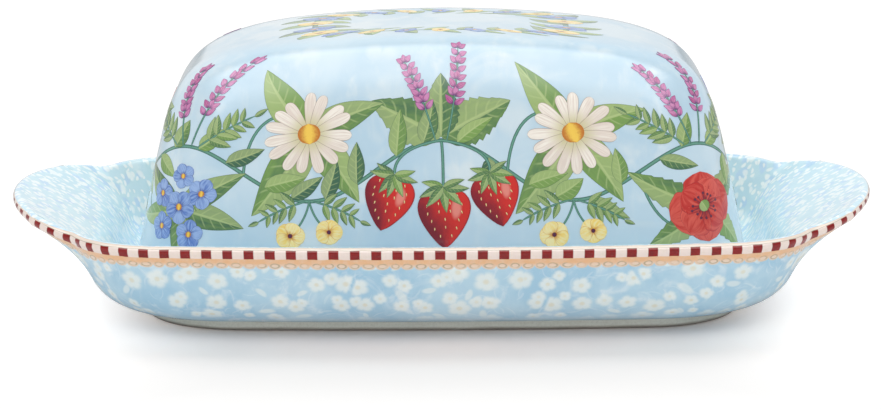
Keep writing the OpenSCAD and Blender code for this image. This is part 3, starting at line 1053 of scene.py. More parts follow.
def lid_paint(colours):
    """Glaze of the lid: a pale blue wash outside with faint large blossoms, near white inside."""
    material, g, shader = new_material("lid_glaze")
    place = g.place()
    plane = g.uv("surface")
    side = g.parts(plane)[1]
    height = g.parts(place)[2]
    wash = wash_colour(
        g, place, colours.lid_deep, colours.lid_mid, colours.lid_pale, clouds=24.0, streaks=0.6)
    large, _ = blossom_layer(
        g, plane, cell=46 * MM, shift=5.3, radius=16 * MM, petals=5.0, soft=0.35, share=0.8, cut=0.35)
    small, _ = blossom_layer(
        g, plane, cell=27 * MM, shift=11.9, radius=7.8 * MM, petals=5.0, soft=0.4, share=0.6, cut=0.35)
    sheet_edge = LidForm.TOP_SHEET - 0.12
    top = g.times(g.step(side, sheet_edge, sheet_edge + 0.06), g.step(height, 70.5 * MM, 74.5 * MM))
    open_field = g.plus(g.step(side, 60 * MM, 50 * MM), top)
    ghosts = g.times(g.most(large, small), open_field)
    painted = g.mix(g.step(height, 48 * MM, 26 * MM, 0.0, 0.3), wash, colours.dish_deep)
    painted = g.mix(g.times(ghosts, 0.5), painted, colours.lid_pale)
    inside = g.step(side, 0.0, -1 * MM)
    g.put(shader.inputs["Base Color"], g.mix(inside, painted, colours.inside))
    g.put(shader.inputs["Roughness"], glaze_finish(g, shader, GLAZE_GLOSS))
    return material


# Painted garland on the lid, planned in millimetres

GARLAND_SEED = 11
VINE_UP = 37.0
VINE_SWING = 8.0
VINE_POINTS = 420
HEART_OFF = 10.5
WREATH_UP = 84.0
WREATH_LEAVES = 44
WREATH_POINTS = 300

# Layers of the enamel, the lowest first, and how far a stroke is lifted off the glaze
VINE_LAYER = 0
UNDER_LAYER = 1
LEAF_LAYER = 4
STEM_LAYER = 5
SPRIG_LAYER = 6
FLOWER_LAYER = 8
LIFT = 0.015
LAYER_LIFT = 0.012
STROKE_LIFT = 0.0006
LIFTS = 12

# Thickness of a stroke, its widest face, and the angle past which an edge is sharp
ENAMEL = 0.12
BRUSH_STEP = 1.3
SHARP = 0.7

# What each loop of the vine holds, numbered from the front to both sides
BLOOMS = {0: "berries", 1: "daisy", 2: "poppy", 3: "bluets", 4: "daisy", 5: "poppy", 6: "berries",
          -1: "daisy", -2: "bluets", -3: "poppy", -4: "daisy", -5: "bluets"}


class LidPaper:
    """The lid's outside laid flat: an anchor round the lid, a step along the ring, a way up the profile."""
    ROWS = 300
    STEPS = 1200
    MIDDLE = 36 * MM
    TOP = math.radians(89)
    NEAR = 0.3 * MM

    def __init__(self, form):
        s = form.sizes
        h = s.height - s.paint
        angles, self.height = form.even_angles(h, 0.0, self.TOP, self.ROWS)
        table = np.array([form.dome_ring(t, s.paint, h) for t in angles])
        self.run = ring_lengths(table)
        self.round = self.run[:, -1] - self.run[:, 0]
        around = closed(table)
        steps = np.linspace(0, 1, self.STEPS + 1)
        self.even = np.empty((self.ROWS, self.STEPS + 1, 3))
        for j in range(self.ROWS):
            share = (self.run[j] - self.run[j, 0]) / self.round[j]
            for axis in range(3):
                self.even[j, :, axis] = np.interp(steps, share, around[j, :, axis])
        self.middle = self.run[int(self.MIDDLE / self.height * (self.ROWS - 1))]
        self.girth = self.middle[-1] - self.middle[0]

    def point(self, anchor, along, up):
        """Places on the lid's outside."""
        anchor = (anchor - self.middle[0]) % self.girth + self.middle[0]
        column = np.interp(anchor, self.middle, np.arange(len(self.middle)))
        c = np.minimum(column.astype(int), len(self.middle) - 2)
        part = column - c
        row = np.clip(up / self.height, 0, 0.9999) * (self.ROWS - 1)
        total = 0
        for j, weight in ((row.astype(int), 1 - row % 1), (row.astype(int) + 1, row % 1)):
            start = self.run[j, c] * (1 - part) + self.run[j, c + 1] * part
            step = ((start + along - self.run[j, 0]) / self.round[j]) % 1 * self.STEPS
            k = np.minimum(step.astype(int), self.STEPS - 1)
            share = (step - k)[:, None]
            total = total + weight[:, None] * (self.even[j, k] * (1 - share) + self.even[j, k + 1] * share)
        return total

    def lay(self, anchor, along, up, lift):
        """Places lifted off the lid's outside."""
        place = self.point(anchor, along, up)
        right = self.point(anchor, along + self.NEAR, up) - self.point(anchor, along - self.NEAR, up)
        top = self.point(anchor, along, up + self.NEAR) - self.point(anchor, along, up - self.NEAR)
        return place + unit(np.cross(right, top)) * lift[:, None]


class Painter:
    """Collects brush strokes, sorted by paint."""

    def __init__(self):
        self.strokes = {}
        self.count = 0

    def keep(self, paint, anchors, spine, half, lift, tone):
        """Keeps a stroke: its anchors, middle line, half widths, lift and tone."""
        stroke = (np.asarray(anchors, float), spine, np.asarray(half, float), lift, tone)
        self.strokes.setdefault(paint, []).append(stroke)

    def stroke(self, paint, spot, points, half, layer, tone):
        """One stroke along points: spot is its anchor, height and turn; half is half its width."""
        anchor, up, turn = spot
        c, s = math.cos(turn), math.sin(turn)
        spine = np.asarray(points, float) @ np.array([[c, s], [-s, c]]) + [0, up]
        self.count += 1
        lift = LIFT + LAYER_LIFT * layer + STROKE_LIFT * (self.count % LIFTS)
        self.keep(paint, np.full(len(spine), float(anchor)), spine, half, lift, tone)

    def vine(self, paint, anchors, ups, half):
        """A long stroke round the lid, under all others."""
        spine = np.stack([np.zeros(len(ups)), ups], 1)
        self.keep(paint, anchors, spine, np.full(len(ups), half), LIFT + LAYER_LIFT * VINE_LAYER, 0.5)


def curve(*knots, count=14):
    """A smooth curve that starts and ends at the first and last knots and is drawn by those between."""
    t = np.linspace(0, 1, count)[:, None]
    points = [np.asarray(k, float)[None] for k in knots]
    while len(points) > 1:
        points = [a * (1 - t) + b * t for a, b in zip(points, points[1:])]
    return points[0]


def taper(count, wide, start=0.6, end=0.25):
    """Half widths of a drawn line that thins towards its ends."""
    s = np.linspace(0, 1, count)
    return wide * np.minimum(1, np.minimum(start + s * 6, end + (1 - s) * 6))


def leaf(art, spot, long, wide, bend, layer, tone, teeth=0):
    """A pointed leaf, plain or with teeth along its sides."""
    count = max(9, int(long / 1.1)) if not teeth else teeth * 4 + 1
    s = np.linspace(0, 1, count)
    half = wide / 2 * np.sin(np.pi * s ** 0.72) ** 0.9 + 0.05
    if teeth:
        half *= 1 - 0.2 * (s * teeth % 1) * np.sin(np.pi * s)
    spine = np.stack([bend * long * s ** 2, long * s], 1)
    art.stroke("leaves", spot, spine, half, layer, tone)


def disc(art, paint, spot, centre, radius, layer, tone, squash=1.0):
    """A round dab."""
    s = np.linspace(-1, 1, 11)
    spine = np.stack([np.full(11, centre[0]), centre[1] + radius * squash * s], 1)
    art.stroke(paint, spot, spine, radius * np.sqrt(np.maximum(0.004, 1 - s * s)), layer, tone)


def daisy(art, spot, radius, rng, petals=15, squash=0.92, layer=FLOWER_LAYER):
    """A many-petalled daisy, seen a little from the side."""
    for k in range(petals):
        angle = math.tau * (k + rng.uniform(-0.15, 0.15)) / petals
        reach = radius * rng.uniform(0.92, 1.04)
        s = np.sin(np.linspace(0, math.pi / 2, 13))
        line = radius * 0.16 + (reach - radius * 0.16) * s
        sway = radius * 0.05 * rng.uniform(-1, 1) * s * s
        x = np.sin(angle) * line + np.cos(angle) * sway
        y = (np.cos(angle) * line - np.sin(angle) * sway) * squash
        half = radius * 0.155 * (0.35 + 0.65 * s ** 0.7) * np.sqrt(np.maximum(0.01, 1 - s ** 7))
        art.stroke("daisies", spot, np.stack([x, y], 1), half, layer + k % 2, rng.random())
    disc(art, "hearts", spot, (0, 0), radius * 0.25, layer + 2, rng.random(), squash)


def strawberry(art, spot, long, rng, layer=FLOWER_LAYER):
    """A ripe berry that hangs from its crown of sepals."""
    s = np.linspace(0, 1, 17)
    half = long * 0.43 * (np.sin(np.pi * s ** 0.62) ** 0.75) + 0.05
    sway = rng.uniform(-0.05, 0.05) * long * s * s
    art.stroke("berries", spot, np.stack([sway, -long * s], 1), half, layer, rng.random())
    for row in range(6):
        t = 0.16 + 0.13 * row
        room = np.interp(t, s, half) * 0.86
        count = max(1, int(room * 2 / (long * 0.17)))
        for k in range(count):
            x = room * ((k + 0.5) / count * 2 - 1) * (1 if count > 1 else 0.2)
            y = -long * (t - 0.05 * (1 - (x / max(room, 0.1)) ** 2))
            lean = x / long * 0.9
            seed = np.array([[x, y], [x + lean * 0.35, y - 0.35], [x + lean * 0.8, y - 0.8]])
            art.stroke("seeds", spot, seed, [0.16, 0.26, 0.06], layer + 2, rng.random())
    anchor, up, tilt = spot
    for k in range(7):
        turn = math.radians(-108 + 36 * k) + rng.uniform(-0.12, 0.12)
        short = long * (0.42 if abs(k - 3) < 3 else 0.36)
        bend = rng.uniform(-0.2, 0.2)
        tone = 0.25 + 0.5 * rng.random()
        leaf(art, (anchor, up, tilt + math.pi + turn), short, short * 0.34, bend, layer + 3, tone)


def poppy(art, spot, radius, rng, squash=0.88, layer=FLOWER_LAYER):
    """An open poppy of broad crumpled petals."""
    for k, turn in enumerate((20, 110, 200, 290, 65, 155, 245, 335)):
        inner = k >= 4
        angle = math.radians(turn + rng.uniform(-8, 8))
        reach = radius * (0.8 if inner else 1.0) * rng.uniform(0.94, 1.05)
        s = np.linspace(0, 1, 15)
        line = reach * s
        x, y = np.sin(angle) * line, np.cos(angle) * line * squash
        half = reach * 0.56 * np.sin(np.pi * np.minimum(1, 0.04 + 0.96 * s ** 1.25) ** 0.95) ** 0.6
        half = half * (1 + 0.035 * np.sin(s * 19 + k)) + 0.05
        art.stroke("poppies", spot, np.stack([x, y], 1), half, layer + (1 if inner else 0), rng.random())
    stamens = 14
    for k in range(stamens):
        angle = math.tau * k / stamens + rng.uniform(-0.1, 0.1)
        reach = radius * rng.uniform(0.3, 0.4)
        tip = np.array([math.sin(angle) * reach, math.cos(angle) * reach * squash])
        art.stroke("stamens", spot, [tip * 0.35, tip * 0.7, tip], [0.1, 0.1, 0.12], layer + 3, 0.2)
        disc(art, "stamens", spot, tip, 0.42, layer + 4, 0.3)
    disc(art, "leaves", spot, (0, 0), radius * 0.16, layer + 4, 0.9, squash)


def five_petals(art, paint, spot, centre, reach, squash, half, rng, layer):
    """Five petals round a centre: the reach along a petal and its half widths there."""
    first = rng.uniform(0, math.tau)
    for k in range(5):
        angle = first + math.tau * k / 5
        x, y = centre[0] + np.sin(angle) * reach, centre[1] + np.cos(angle) * reach * squash
        art.stroke(paint, spot, np.stack([x, y], 1), half, layer + k % 2, rng.random())


def bluet(art, spot, centre, radius, rng, layer=FLOWER_LAYER):
    """A small round-petalled blue flower."""
    s = np.linspace(0, 1, 9)
    half = radius * 0.46 * np.sin(np.pi * s ** 1.35 * 0.97 + 0.05) ** 0.6 + 0.03
    five_petals(art, "bluets", spot, centre, radius * (0.08 + 0.92 * s), 1.0, half, rng, layer)
    disc(art, "hearts", spot, centre, radius * 0.2, layer + 2, rng.random())


def buttercup(art, spot, centre, radius, rng, layer=FLOWER_LAYER):
    """A small yellow flower of five broad petals."""
    s = np.linspace(0, 1, 9)
    half = radius * 0.56 * np.sin(np.pi * np.minimum(1, s ** 1.3 * 0.95 + 0.03)) ** 0.5 + 0.03
    five_petals(art, "buttercups", spot, centre, radius * (0.06 + 0.94 * s), 0.9, half, rng, layer)
    disc(art, "stamens", spot, centre, radius * 0.16, layer + 2, 0.8)


def stalk(art, spot, long, bend, wide, layer, tone):
    """A thin stem that bends to one side."""
    line = curve((0, 0), (0, long * 0.5), (bend * long, long), count=12)
    art.stroke("stems", spot, line, taper(12, wide), layer, tone)


def lavender(art, spot, long, rng, layer=FLOWER_LAYER):
    """A stem with whorls of small violet buds."""
    bend = rng.uniform(-0.12, 0.12)
    stalk(art, spot, long, bend, 0.28, layer - 2, 0.5)
    run = np.linspace(0, 1, 7)
    half = 0.8 * np.sin(np.pi * np.linspace(0.05, 0.97, 7) ** 0.8) + 0.04
    for k in range(8):
        t = 0.38 + 0.6 * k / 7
        x, y = bend * long * t * t, long * t
        size = 3.1 * (1 - 0.45 * (t - 0.38))
        for side in (-1, 0, 1) if k % 2 else (-1, 1):
            turn = side * math.radians(rng.uniform(38, 55))
            bud_x = x + side * 0.25 + np.sin(turn) * size * run
            bud_y = y + np.cos(turn) * size * run
            art.stroke("lavender", spot, np.stack([bud_x, bud_y], 1), half, layer + k % 3, rng.random())


def sprig(art, spot, long, pairs, size, bend, rng, layer=SPRIG_LAYER, tone=0.3):
    """A fern-like sprig: a stem with pairs of small leaves and one at the tip."""
    stalk(art, spot, long, bend, 0.3, layer - 1, 0.4)
    q = np.linspace(0, 1, 9)
    outline = np.sin(np.pi * q ** 0.75) ** 0.9
    for k in range(pairs):
        t = 0.22 + 0.7 * k / pairs
        x, y = bend * long * t * t, long * t
        for side in (-1, 1):
            grow = size * (1 - 0.5 * t) * rng.uniform(0.9, 1.1)
            turn = -side * math.radians(rng.uniform(46, 60)) - bend * t
            points = np.stack([x - math.sin(turn) * grow * q, y + math.cos(turn) * grow * q], 1)
            half = grow * 0.19 * outline + 0.04
            art.stroke("leaves", spot, points, half, layer + k % 2, tone + 0.3 * rng.random())
    points = np.stack([bend * long + bend * size * 0.4 * q, long - 0.4 + size * 0.55 * q], 1)
    art.stroke("leaves", spot, points, size * 0.11 * outline + 0.04, layer, tone)


def sprig_pair(art, u, up, apart, turn, long, pairs, size, rng):
    """Two sprigs, one the mirror image of the other."""
    for side in (1, -1):
        spot = (u + side * apart, up, math.radians(-side * turn))
        sprig(art, spot, long, pairs, size, side * 0.15, rng)


def fan(art, u, up, leaves, wide, bend, layer, tones, rng, teeth=0):
    """Leaves that spread from one point: the turn and length of each; wide is a share of the length."""
    for turn, long in leaves:
        tone = rng.uniform(*tones)
        leaf(art, (u, up, math.radians(turn)), long, long * wide, bend, layer, tone, teeth)


def vine_up(u, half_wave):
    """Height of the vine at an anchor round the lid."""
    return VINE_UP + VINE_SWING * math.cos(math.pi * u / half_wave)


def vine_leaves(art, u, half_wave, rng):
    """Leaves along one loop of the vine, each on either side by chance."""
    for share in (0.16, 0.36, 0.62, 0.86):
        at = u + (share - 0.5) * half_wave
        slope = -VINE_SWING * math.pi / half_wave * math.sin(math.pi * at / half_wave)
        side = 1 if rng.random() < 0.5 else -1
        turn = math.atan(slope) - math.pi / 2 + side * math.radians(rng.uniform(42, 62))
        long, wide, bend = rng.uniform(9, 13), rng.uniform(4.2, 5.6), rng.uniform(-0.15, 0.15)
        leaf(art, (at, vine_up(at, half_wave), turn), long, wide, bend, LEAF_LAYER, rng.random())


def berry_bunch(art, u, up, rng):
    """Three strawberries that hang from the vine under three toothed leaves."""
    tones = (0.3, 0.8)
    fan(art, u, up + 1, ((62, 21), (-62, 21)), 0.6, 0.0, UNDER_LAYER, tones, rng, teeth=9)
    fan(art, u, up + 1, ((0, 17),), 0.6, 0.0, UNDER_LAYER + 2, tones, rng, teeth=9)
    for x, drop, turn, long in ((-12.5, 9, -14, 15.5), (0.5, 12.5, 3, 16.5), (13, 8.5, 15, 15)):
        line = curve((0, 0), (x * 0.55, -1.0), (x, -drop * 0.4), (x, -drop + 0.4), count=14)
        art.stroke("stems", (u, up, 0.0), line, taper(14, 0.4, 1, 0.9), STEM_LAYER, 0.5)
        strawberry(art, (u + x, up - drop, math.radians(turn)), long, rng)


def daisy_bunch(art, u, heart, under, rng):
    """One large daisy over four long leaves."""
    fan(art, u, heart, ((152, 27), (222, 23), (42, 23), (-62, 21)), 0.4, 0.12, under, (0.2, 0.9), rng)
    daisy(art, (u, heart, rng.uniform(-0.4, 0.4)), 12.2, rng)


def poppy_bunch(art, u, heart, under, rng):
    """One large poppy over four toothed leaves."""
    leaves = ((72, 23), (128, 20), (232, 20), (300, 23))
    fan(art, u, heart, leaves, 0.4, 0.15, under, (0.3, 0.9), rng, teeth=8)
    poppy(art, (u, heart, rng.uniform(-0.5, 0.5)), 11.6, rng)


def bluet_bunch(art, u, heart, under, rng):
    """A cluster of small blue flowers over five leaves."""
    leaves = ((64, 21), (110, 20), (190, 17), (262, 20), (306, 21))
    fan(art, u, heart, leaves, 0.36, 0.1, under, (0.3, 0.8), rng)
    cluster = ((0, 0.5, 5.0), (-7.2, 3.6, 4.3), (6.6, 4.8, 4.5),
               (-5.8, -5.8, 4.2), (4.2, -7.0, 4.3), (0.2, 9.6, 3.8))
    for x, y, radius in cluster:
        bluet(art, (u, heart, 0.0), (x, y), radius, rng)


def low_sprigs(art, kind, u, up, rng):
    """Sprigs above the vine where its loop hangs a flower below: lavender, and ferns beside it."""
    lavender(art, (u - 1.5, up, math.radians(15)), 23, rng)
    lavender(art, (u + 1.5, up, math.radians(-13)), 26, rng)
    if kind != "berries":
        sprig_pair(art, u, up, 4, 52, 17, 5, 7.0, rng)


def high_sprigs(art, u, up, rng):
    """Sprigs below the vine where its loop holds a flower above: two buttercups, and ferns beside them."""
    for x, y, radius in ((-5.2, -9.4, 4.0), (5.2, -8.4, 3.7)):
        line = curve((0, 0), (x * 0.2, y * 0.6), (x, y), count=10)
        art.stroke("stems", (u, up, 0), line, taper(10, 0.28, 1, 0.8), STEM_LAYER, 0.4)
        buttercup(art, (u, up, 0), (x, y), radius, rng)
    sprig_pair(art, u, up, 1, 105, 14, 4, 5.6, rng)


def top_wreath(art, girth, rng):
    """A ring of leaves and small flowers on the top of the lid."""
    layer = UNDER_LAYER + 2
    for k in range(WREATH_LEAVES):
        u = (k / WREATH_LEAVES - 0.5) * girth
        turn = -math.pi / 2 + (1 if k % 2 else -1) * math.radians(38)
        leaf(art, (u, WREATH_UP, turn), 7.2, 2.9, 0.0, UNDER_LAYER, rng.random())
        if k % 4 == 0:
            bluet(art, (u, WREATH_UP, 0), (0, 0), 2.7, rng, layer)
        elif k % 4 == 2:
            buttercup(art, (u, WREATH_UP, 0), (0, 0), 2.5, rng, layer)
    anchors = np.linspace(-girth / 2, girth / 2, WREATH_POINTS)
    art.vine("stems", anchors, np.full(WREATH_POINTS, WREATH_UP), 0.35)


def plan_garland(girth):
    """A running vine round the lid: each of its loops holds a flower or a bunch of berries."""
    rng = random.Random(GARLAND_SEED)
    art = Painter()
    half_wave = girth / len(BLOOMS)
    anchors = np.linspace(-girth / 2, girth / 2, VINE_POINTS)
    art.vine("stems", anchors, [vine_up(u, half_wave) for u in anchors], 0.55)
    bunches = {"daisy": daisy_bunch, "poppy": poppy_bunch, "bluets": bluet_bunch}
    for k, kind in BLOOMS.items():
        u = k * half_wave
        up = vine_up(u, half_wave)
        over = 1 if k % 2 else -1
        heart = VINE_UP + over * HEART_OFF
        if kind != "berries":
            start = -half_wave * 0.5
            knots = ((start, VINE_UP - heart), (start * 0.9, over * 9), (-3, over * 8), (0, 0))
            branch = curve(*knots, count=22)
            art.stroke("stems", (u, heart, 0.0), branch, taper(22, 0.42, 1, 0.8), VINE_LAYER, 0.6)
        vine_leaves(art, u, half_wave, rng)
        if kind == "berries":
            berry_bunch(art, u, up, rng)
        else:
            bunches[kind](art, u, heart, UNDER_LAYER + k % 2, rng)
        if over < 0:
            low_sprigs(art, kind, u, up, rng)
        else:
            high_sprigs(art, u, up, rng)
    top_wreath(art, girth, rng)
    return art.strokes


def lay_strokes(paper, strokes, name, material):
    """Lays strokes of one paint on the lid as thin closed enamel, each with its UV map, edge and tone."""
    bm = bmesh.new()
    brush = bm.loops.layers.uv.new("brush")
    edge = bm.verts.layers.float.new("edge")
    tint = bm.verts.layers.float.new("tone")
    verts, places = [], []
    for anchors, spine, half, lift, tone in strokes:
        rows = len(spine) - 1
        across = max(2, 2 * math.ceil(half.max() / BRUSH_STEP))
        made = bmesh.ops.create_grid(bm, x_segments=across, y_segments=rows, size=1)["verts"]
        way = unit(np.gradient(spine + np.stack([anchors, np.zeros(len(anchors))], 1), axis=0))
        for vert in made:
            x, i = vert.co.x, round((vert.co.y + 1) / 2 * rows)
            aside = way[i] * half[i] * x
            verts.append(vert)
            places.append((anchors[i], spine[i, 0] + aside[1], spine[i, 1] - aside[0], lift))
            vert[edge] = (1 - abs(x)) * half[i] * MM
            vert[tint] = tone
            for loop in vert.link_loops:
                loop[brush].uv = ((x + 1) / 2, i / rows)
    places = np.array(places) * MM
    for vert, place in zip(verts, paper.lay(*places.T)):
        vert.co = place
    bm.normal_update()
    bmesh.ops.solidify(bm, geom=bm.faces[:], thickness=ENAMEL * MM)
    bmesh.ops.recalc_face_normals(bm, faces=bm.faces)
    for line in bm.edges:
        if len(line.link_faces) == 2 and line.calc_face_angle(0) > SHARP:
            line.smooth = False
    return finish_piece(bm, name, material, "lid_body")


# Enamels of the garland

class Enamel:
    """A glossy paint with the brush's own coordinates: across, along, distance to the edge and tone."""

    def __init__(self, name):
        self.material, self.g, self.shader = new_material(name)
        self.across, self.along, _ = self.g.parts(self.g.uv("brush"))
        self.edge = self.g.node("ShaderNodeAttribute", attribute_name="edge").outputs["Fac"]
        self.tone = self.g.node("ShaderNodeAttribute", attribute_name="tone").outputs["Fac"]
        self.g.put(self.shader.inputs["Roughness"], glaze_finish(self.g, self.shader, ENAMEL_GLOSS))

    def streaks(self, long, wide):
        """Streaks along the brush, different in each stroke."""
        g = self.g
        across = g.plus(g.times(self.across, wide), g.times(self.tone, 37.0))
        return g.noise(g.join(across, g.times(self.along, long)), 1.0, 3, 0.6, dims="2D")

    def coat(self, colour):
        """The paint in that colour."""
        self.g.put(self.shader.inputs["Base Color"], colour)
        return self.material

    def outlined(self, body, ink, start, full, strength):
        """The paint with an outline, which starts and is full at those distances from the edge."""
        line = self.g.times(self.g.step(self.edge, start, full), strength)
        return self.coat(self.g.mix(line, body, ink))


def petal_enamel(name, light, shade, base, ink):
    """Petal paint: shaded towards the base, streaked along its length, thinly outlined."""
    paint = Enamel(name)
    g = paint.g
    streak = paint.streaks(1.2, 7.0)
    body = g.mix(g.step(g.plus(streak, g.times(paint.tone, 0.25)), 0.35, 0.85), light, shade)
    body = g.mix(g.step(g.plus(paint.along, g.times(streak, 0.3)), 0.55, 0.1), body, base)
    return paint.outlined(body, ink, 0.14 * MM, 0.049 * MM, 0.75)


def leaf_enamel(name, deep, middle, light, ink):
    """Leaf paint: one half lighter than the other, pale herringbone veins, dark outline."""
    paint = Enamel(name)
    g = paint.g
    streak = paint.streaks(3.0, 5.0)
    green = g.plus(g.times(paint.tone, 0.7), g.times(streak, 0.5))
    body = g.mix(g.step(green, 0.25, 0.85), deep, middle)
    body = g.mix(g.step(paint.across, 0.53, 0.47, 0.0, 0.5), body, light)
    side = g.math("ABSOLUTE", g.minus(g.times(paint.across, 2.0), 1.0))
    rib = g.math("FRACT", g.minus(g.times(paint.along, 7.0), g.times(side, 1.1)))
    veins = g.times(g.band(rib, 0.42, 0.58, 0.07), g.step(side, 0.95, 0.6))
    veins = g.most(g.times(veins, 0.6), g.step(side, 0.13, 0.05))
    body = g.mix(g.times(veins, 0.7), body, light)
    return paint.outlined(body, ink, 0.16 * MM, 0.05 * MM, 0.6)


def berry_enamel(name, ripe, deep, shine):
    """Berry paint: bright on one side, deep on the other, with a soft highlight."""
    paint = Enamel(name)
    g = paint.g
    lean = g.plus(g.times(paint.across, 0.75), g.times(paint.along, 0.45))
    depth = g.plus(lean, g.times(paint.streaks(4.0, 4.0), 0.25))
    body = g.mix(g.step(depth, 0.55, 1.1), ripe, deep)
    x = g.over(g.minus(paint.across, 0.27), 0.12)
    y = g.over(g.minus(paint.along, 0.36), 0.2)
    glow = g.step(g.squares(x, y), 1.0, 0.1)
    body = g.mix(g.times(glow, 0.55), body, shine)
    return paint.outlined(body, deep, 0.5 * MM, 0.05 * MM, 0.7)


def dab_enamel(name, light, dark):
    """Paint of small dabs and lines: light in the middle, dark at the edge."""
    paint = Enamel(name)
    g = paint.g
    grain = g.noise(g.place(), 1800, 2, 0.6)
    aside = g.math("ABSOLUTE", g.minus(paint.across, 0.5))
    middle = g.step(g.plus(aside, g.times(grain, 0.25)), 0.58, 0.2)
    return paint.coat(g.mix(middle, dark, light))


# Stage

FLOOR_SIZE = 4
FLOOR_FAR = (0.86, 0.855, 0.85, 1)
FLOOR_NEAR = (0.93, 0.84, 0.81, 1)
# Colour of the painted glow that lightens the object's shadow on the paper
FLOOR_GLOW = (1, 0.93, 0.89, 1)
NEAR_SHARE = (11.8, 16.1, 0.0)     # one over the half sizes of the warm oval under the object
GLOW_SHIFT = (3 * MM, 0, 0)
BOX_AIM = (0, 0, 0.03)
SENSOR = 36


def floor_paper():
    """Matt paper: warm under the object, glowing as painted light beside it to the camera, and painted
    darker in the glaze's reflection behind it.
    """
    material, g, shader = new_material("floor_paper")
    shader.inputs["Roughness"].default_value = 0.9
    shader.inputs["Specular IOR Level"].default_value = 0
    spot = g.place()
    # Warmer paper under the object, which cancels the blue light the dish throws into its shadow there
    near = g.step(g.reach(g.vector("MULTIPLY", spot, NEAR_SHARE)), 1.3, 0.85)
    paper = g.mix(near, FLOOR_FAR, FLOOR_NEAR)
    path = g.node("ShaderNodeLightPath").outputs
    # Painted reflection: the paper behind the object is darker to glossy rays only
    shaded = g.times(path["Is Glossy Ray"], g.step(g.parts(spot)[1], 40 * MM, 100 * MM, 0.0, 0.45))
    g.put(shader.inputs["Base Color"], g.mix(shaded, paper, (0, 0, 0, 1)))
    # Painted light: the paper glows, to the camera only, beside the object's ends and further out,
    # lightening its shadow there
    shifted = g.parts(g.vector("SUBTRACT", spot, GLOW_SHIFT))
    side, ahead = (g.math("ABSOLUTE", part) for part in shifted[:2])
    ends = g.times(g.step(side, 56 * MM, 106 * MM, 0.0, 0.62), g.step(ahead, 100 * MM, 25 * MM, 0.12, 1.0))
    lift = g.most(ends, g.step(ahead, 85 * MM, 125 * MM, 0.0, 0.06))
    lift = g.most(lift, g.step(g.reach(spot), 250 * MM, 1200 * MM, 0.0, 0.5))
    glow = g.node("ShaderNodeEmission")
    glow.inputs["Color"].default_value = FLOOR_GLOW
    g.put(glow.inputs["Strength"], g.times(path["Is Camera Ray"], lift))
    both = g.node("ShaderNodeAddShader")
    g.fill(both.inputs, shader.outputs[0], glow.outputs[0])
    g.put(material.node_tree.nodes["Material Output"].inputs["Surface"], both.outputs[0])
    return material


def make_floor(scene):
    """Pale floor that keeps the shadow."""
    bm = bmesh.new()
    bmesh.ops.create_grid(bm, x_segments=1, y_segments=1, size=FLOOR_SIZE)
    mesh = bpy.data.meshes.new("floor")
    bm.to_mesh(mesh)
    bm.free()
    mesh.materials.append(floor_paper())
    floor = bpy.data.objects.new("floor", mesh)
    scene.collection.objects.link(floor)


def light_room(scene, s):
    """Even light all round; what the glaze mirrors is a bright panel over the front in a dim room."""
    world = bpy.data.worlds.new("room")
    scene.world = world
    world.use_nodes = True
    g = Graph(world.node_tree)
    way = g.parts(g.node("ShaderNodeTexCoord").outputs["Generated"])
    rise = g.math("ARCTAN2", way[2], g.times(way[1], -1.0))

    def rising(low, high, *to):
        return g.step(rise, math.radians(low), math.radians(high), *to)

    room = g.step(way[2], 0.36, 0.62, s.wall_light, s.ceiling_light)
    panel = g.times(rising(16, 34), rising(115, 85))
    panel = g.times(panel, g.step(g.math("ABSOLUTE", way[0]), 0.88, 0.58))
    behind = rising(110, 145, s.dim_light, s.back_light)
    mirrored = g.plus(behind, g.times(panel, s.panel_light))
    path = g.node("ShaderNodeLightPath").outputs
    light = g.blend(path["Is Glossy Ray"], room, mirrored)
    background = world.node_tree.nodes["Background"].inputs
    background["Color"].default_value = (1, 1, 1, 1)
    g.put(background["Strength"], g.most(light, path["Is Camera Ray"]))


def hang_softbox(scene, name, place, wide, high, power):
    """A soft box that the glaze doesn't mirror."""
    lamp = bpy.data.lights.new(name, "AREA")
    lamp.shape = "RECTANGLE"
    lamp.size, lamp.size_y, lamp.energy = wide, high, power
    holder = bpy.data.objects.new(name, lamp)
    holder.location = place
    holder.rotation_euler = (Vector(BOX_AIM) - Vector(place)).to_track_quat("-Z", "Y").to_euler()
    holder.visible_glossy = False
    scene.collection.objects.link(holder)


def set_camera(scene, s):
    """Camera at the photograph's angle."""
    camera = bpy.data.cameras.new("camera")
    camera.sensor_width = SENSOR
    camera.lens = s.lens
    holder = bpy.data.objects.new("camera", camera)
    back, up = s.distance * math.cos(s.elevation), s.distance * math.sin(s.elevation)
    holder.location = (0, -back, s.target_z + up)
    aim = Vector((-s.aside, 0, s.target_z - s.drop))
    look = (aim - holder.location).to_track_quat("-Z", "Y")
    holder.rotation_euler = (look @ Quaternion((0, 0, 1), s.roll)).to_euler()
    scene.collection.objects.link(holder)
    scene.camera = holder


# Operators

class BUTTERDISH_OT_stage(Operator):
    """Set the floor, the soft lights and the camera"""
    bl_idname = "butterdish.stage"
    bl_label = "Stage"

    def execute(self, context):
        s = settings().stage
        scene = context.scene
        scene.view_settings.view_transform = "Standard"
        make_floor(scene)
        light_room(scene, s)
        hang_softbox(scene, "back_box", (0, 0.5, 1.0), 1.2, 0.7, s.key_power)
        hang_softbox(scene, "front_box", (0, -0.75, 1.0), 1.5, 0.9, s.fill_power)
        set_camera(scene, s)
        return {"FINISHED"}


class BUTTERDISH_OT_dish(Operator):
    """Make the dish as one fine shell with its painted border"""
    bl_idname = "butterdish.dish"
    bl_label = "Dish"

    def execute(self, context):
        values = settings()
        dish = DishRings(DishForm(values.dish))
        bm = bmesh.new()
        rows = loft(bm, dish.rings)
        lay_uv(bm, rows, "rim", *dish.rim_map(values.border.ear_shift))
        lay_uv(bm, rows, "surface", *dish.surface_map())
        close_shell(bm, rows)
        material = dish_paint(values.glaze, values.border, dish.rim_length)
        finish_piece(bm, "dish_shell", material, "dish_body", "dish")
        return {"FINISHED"}


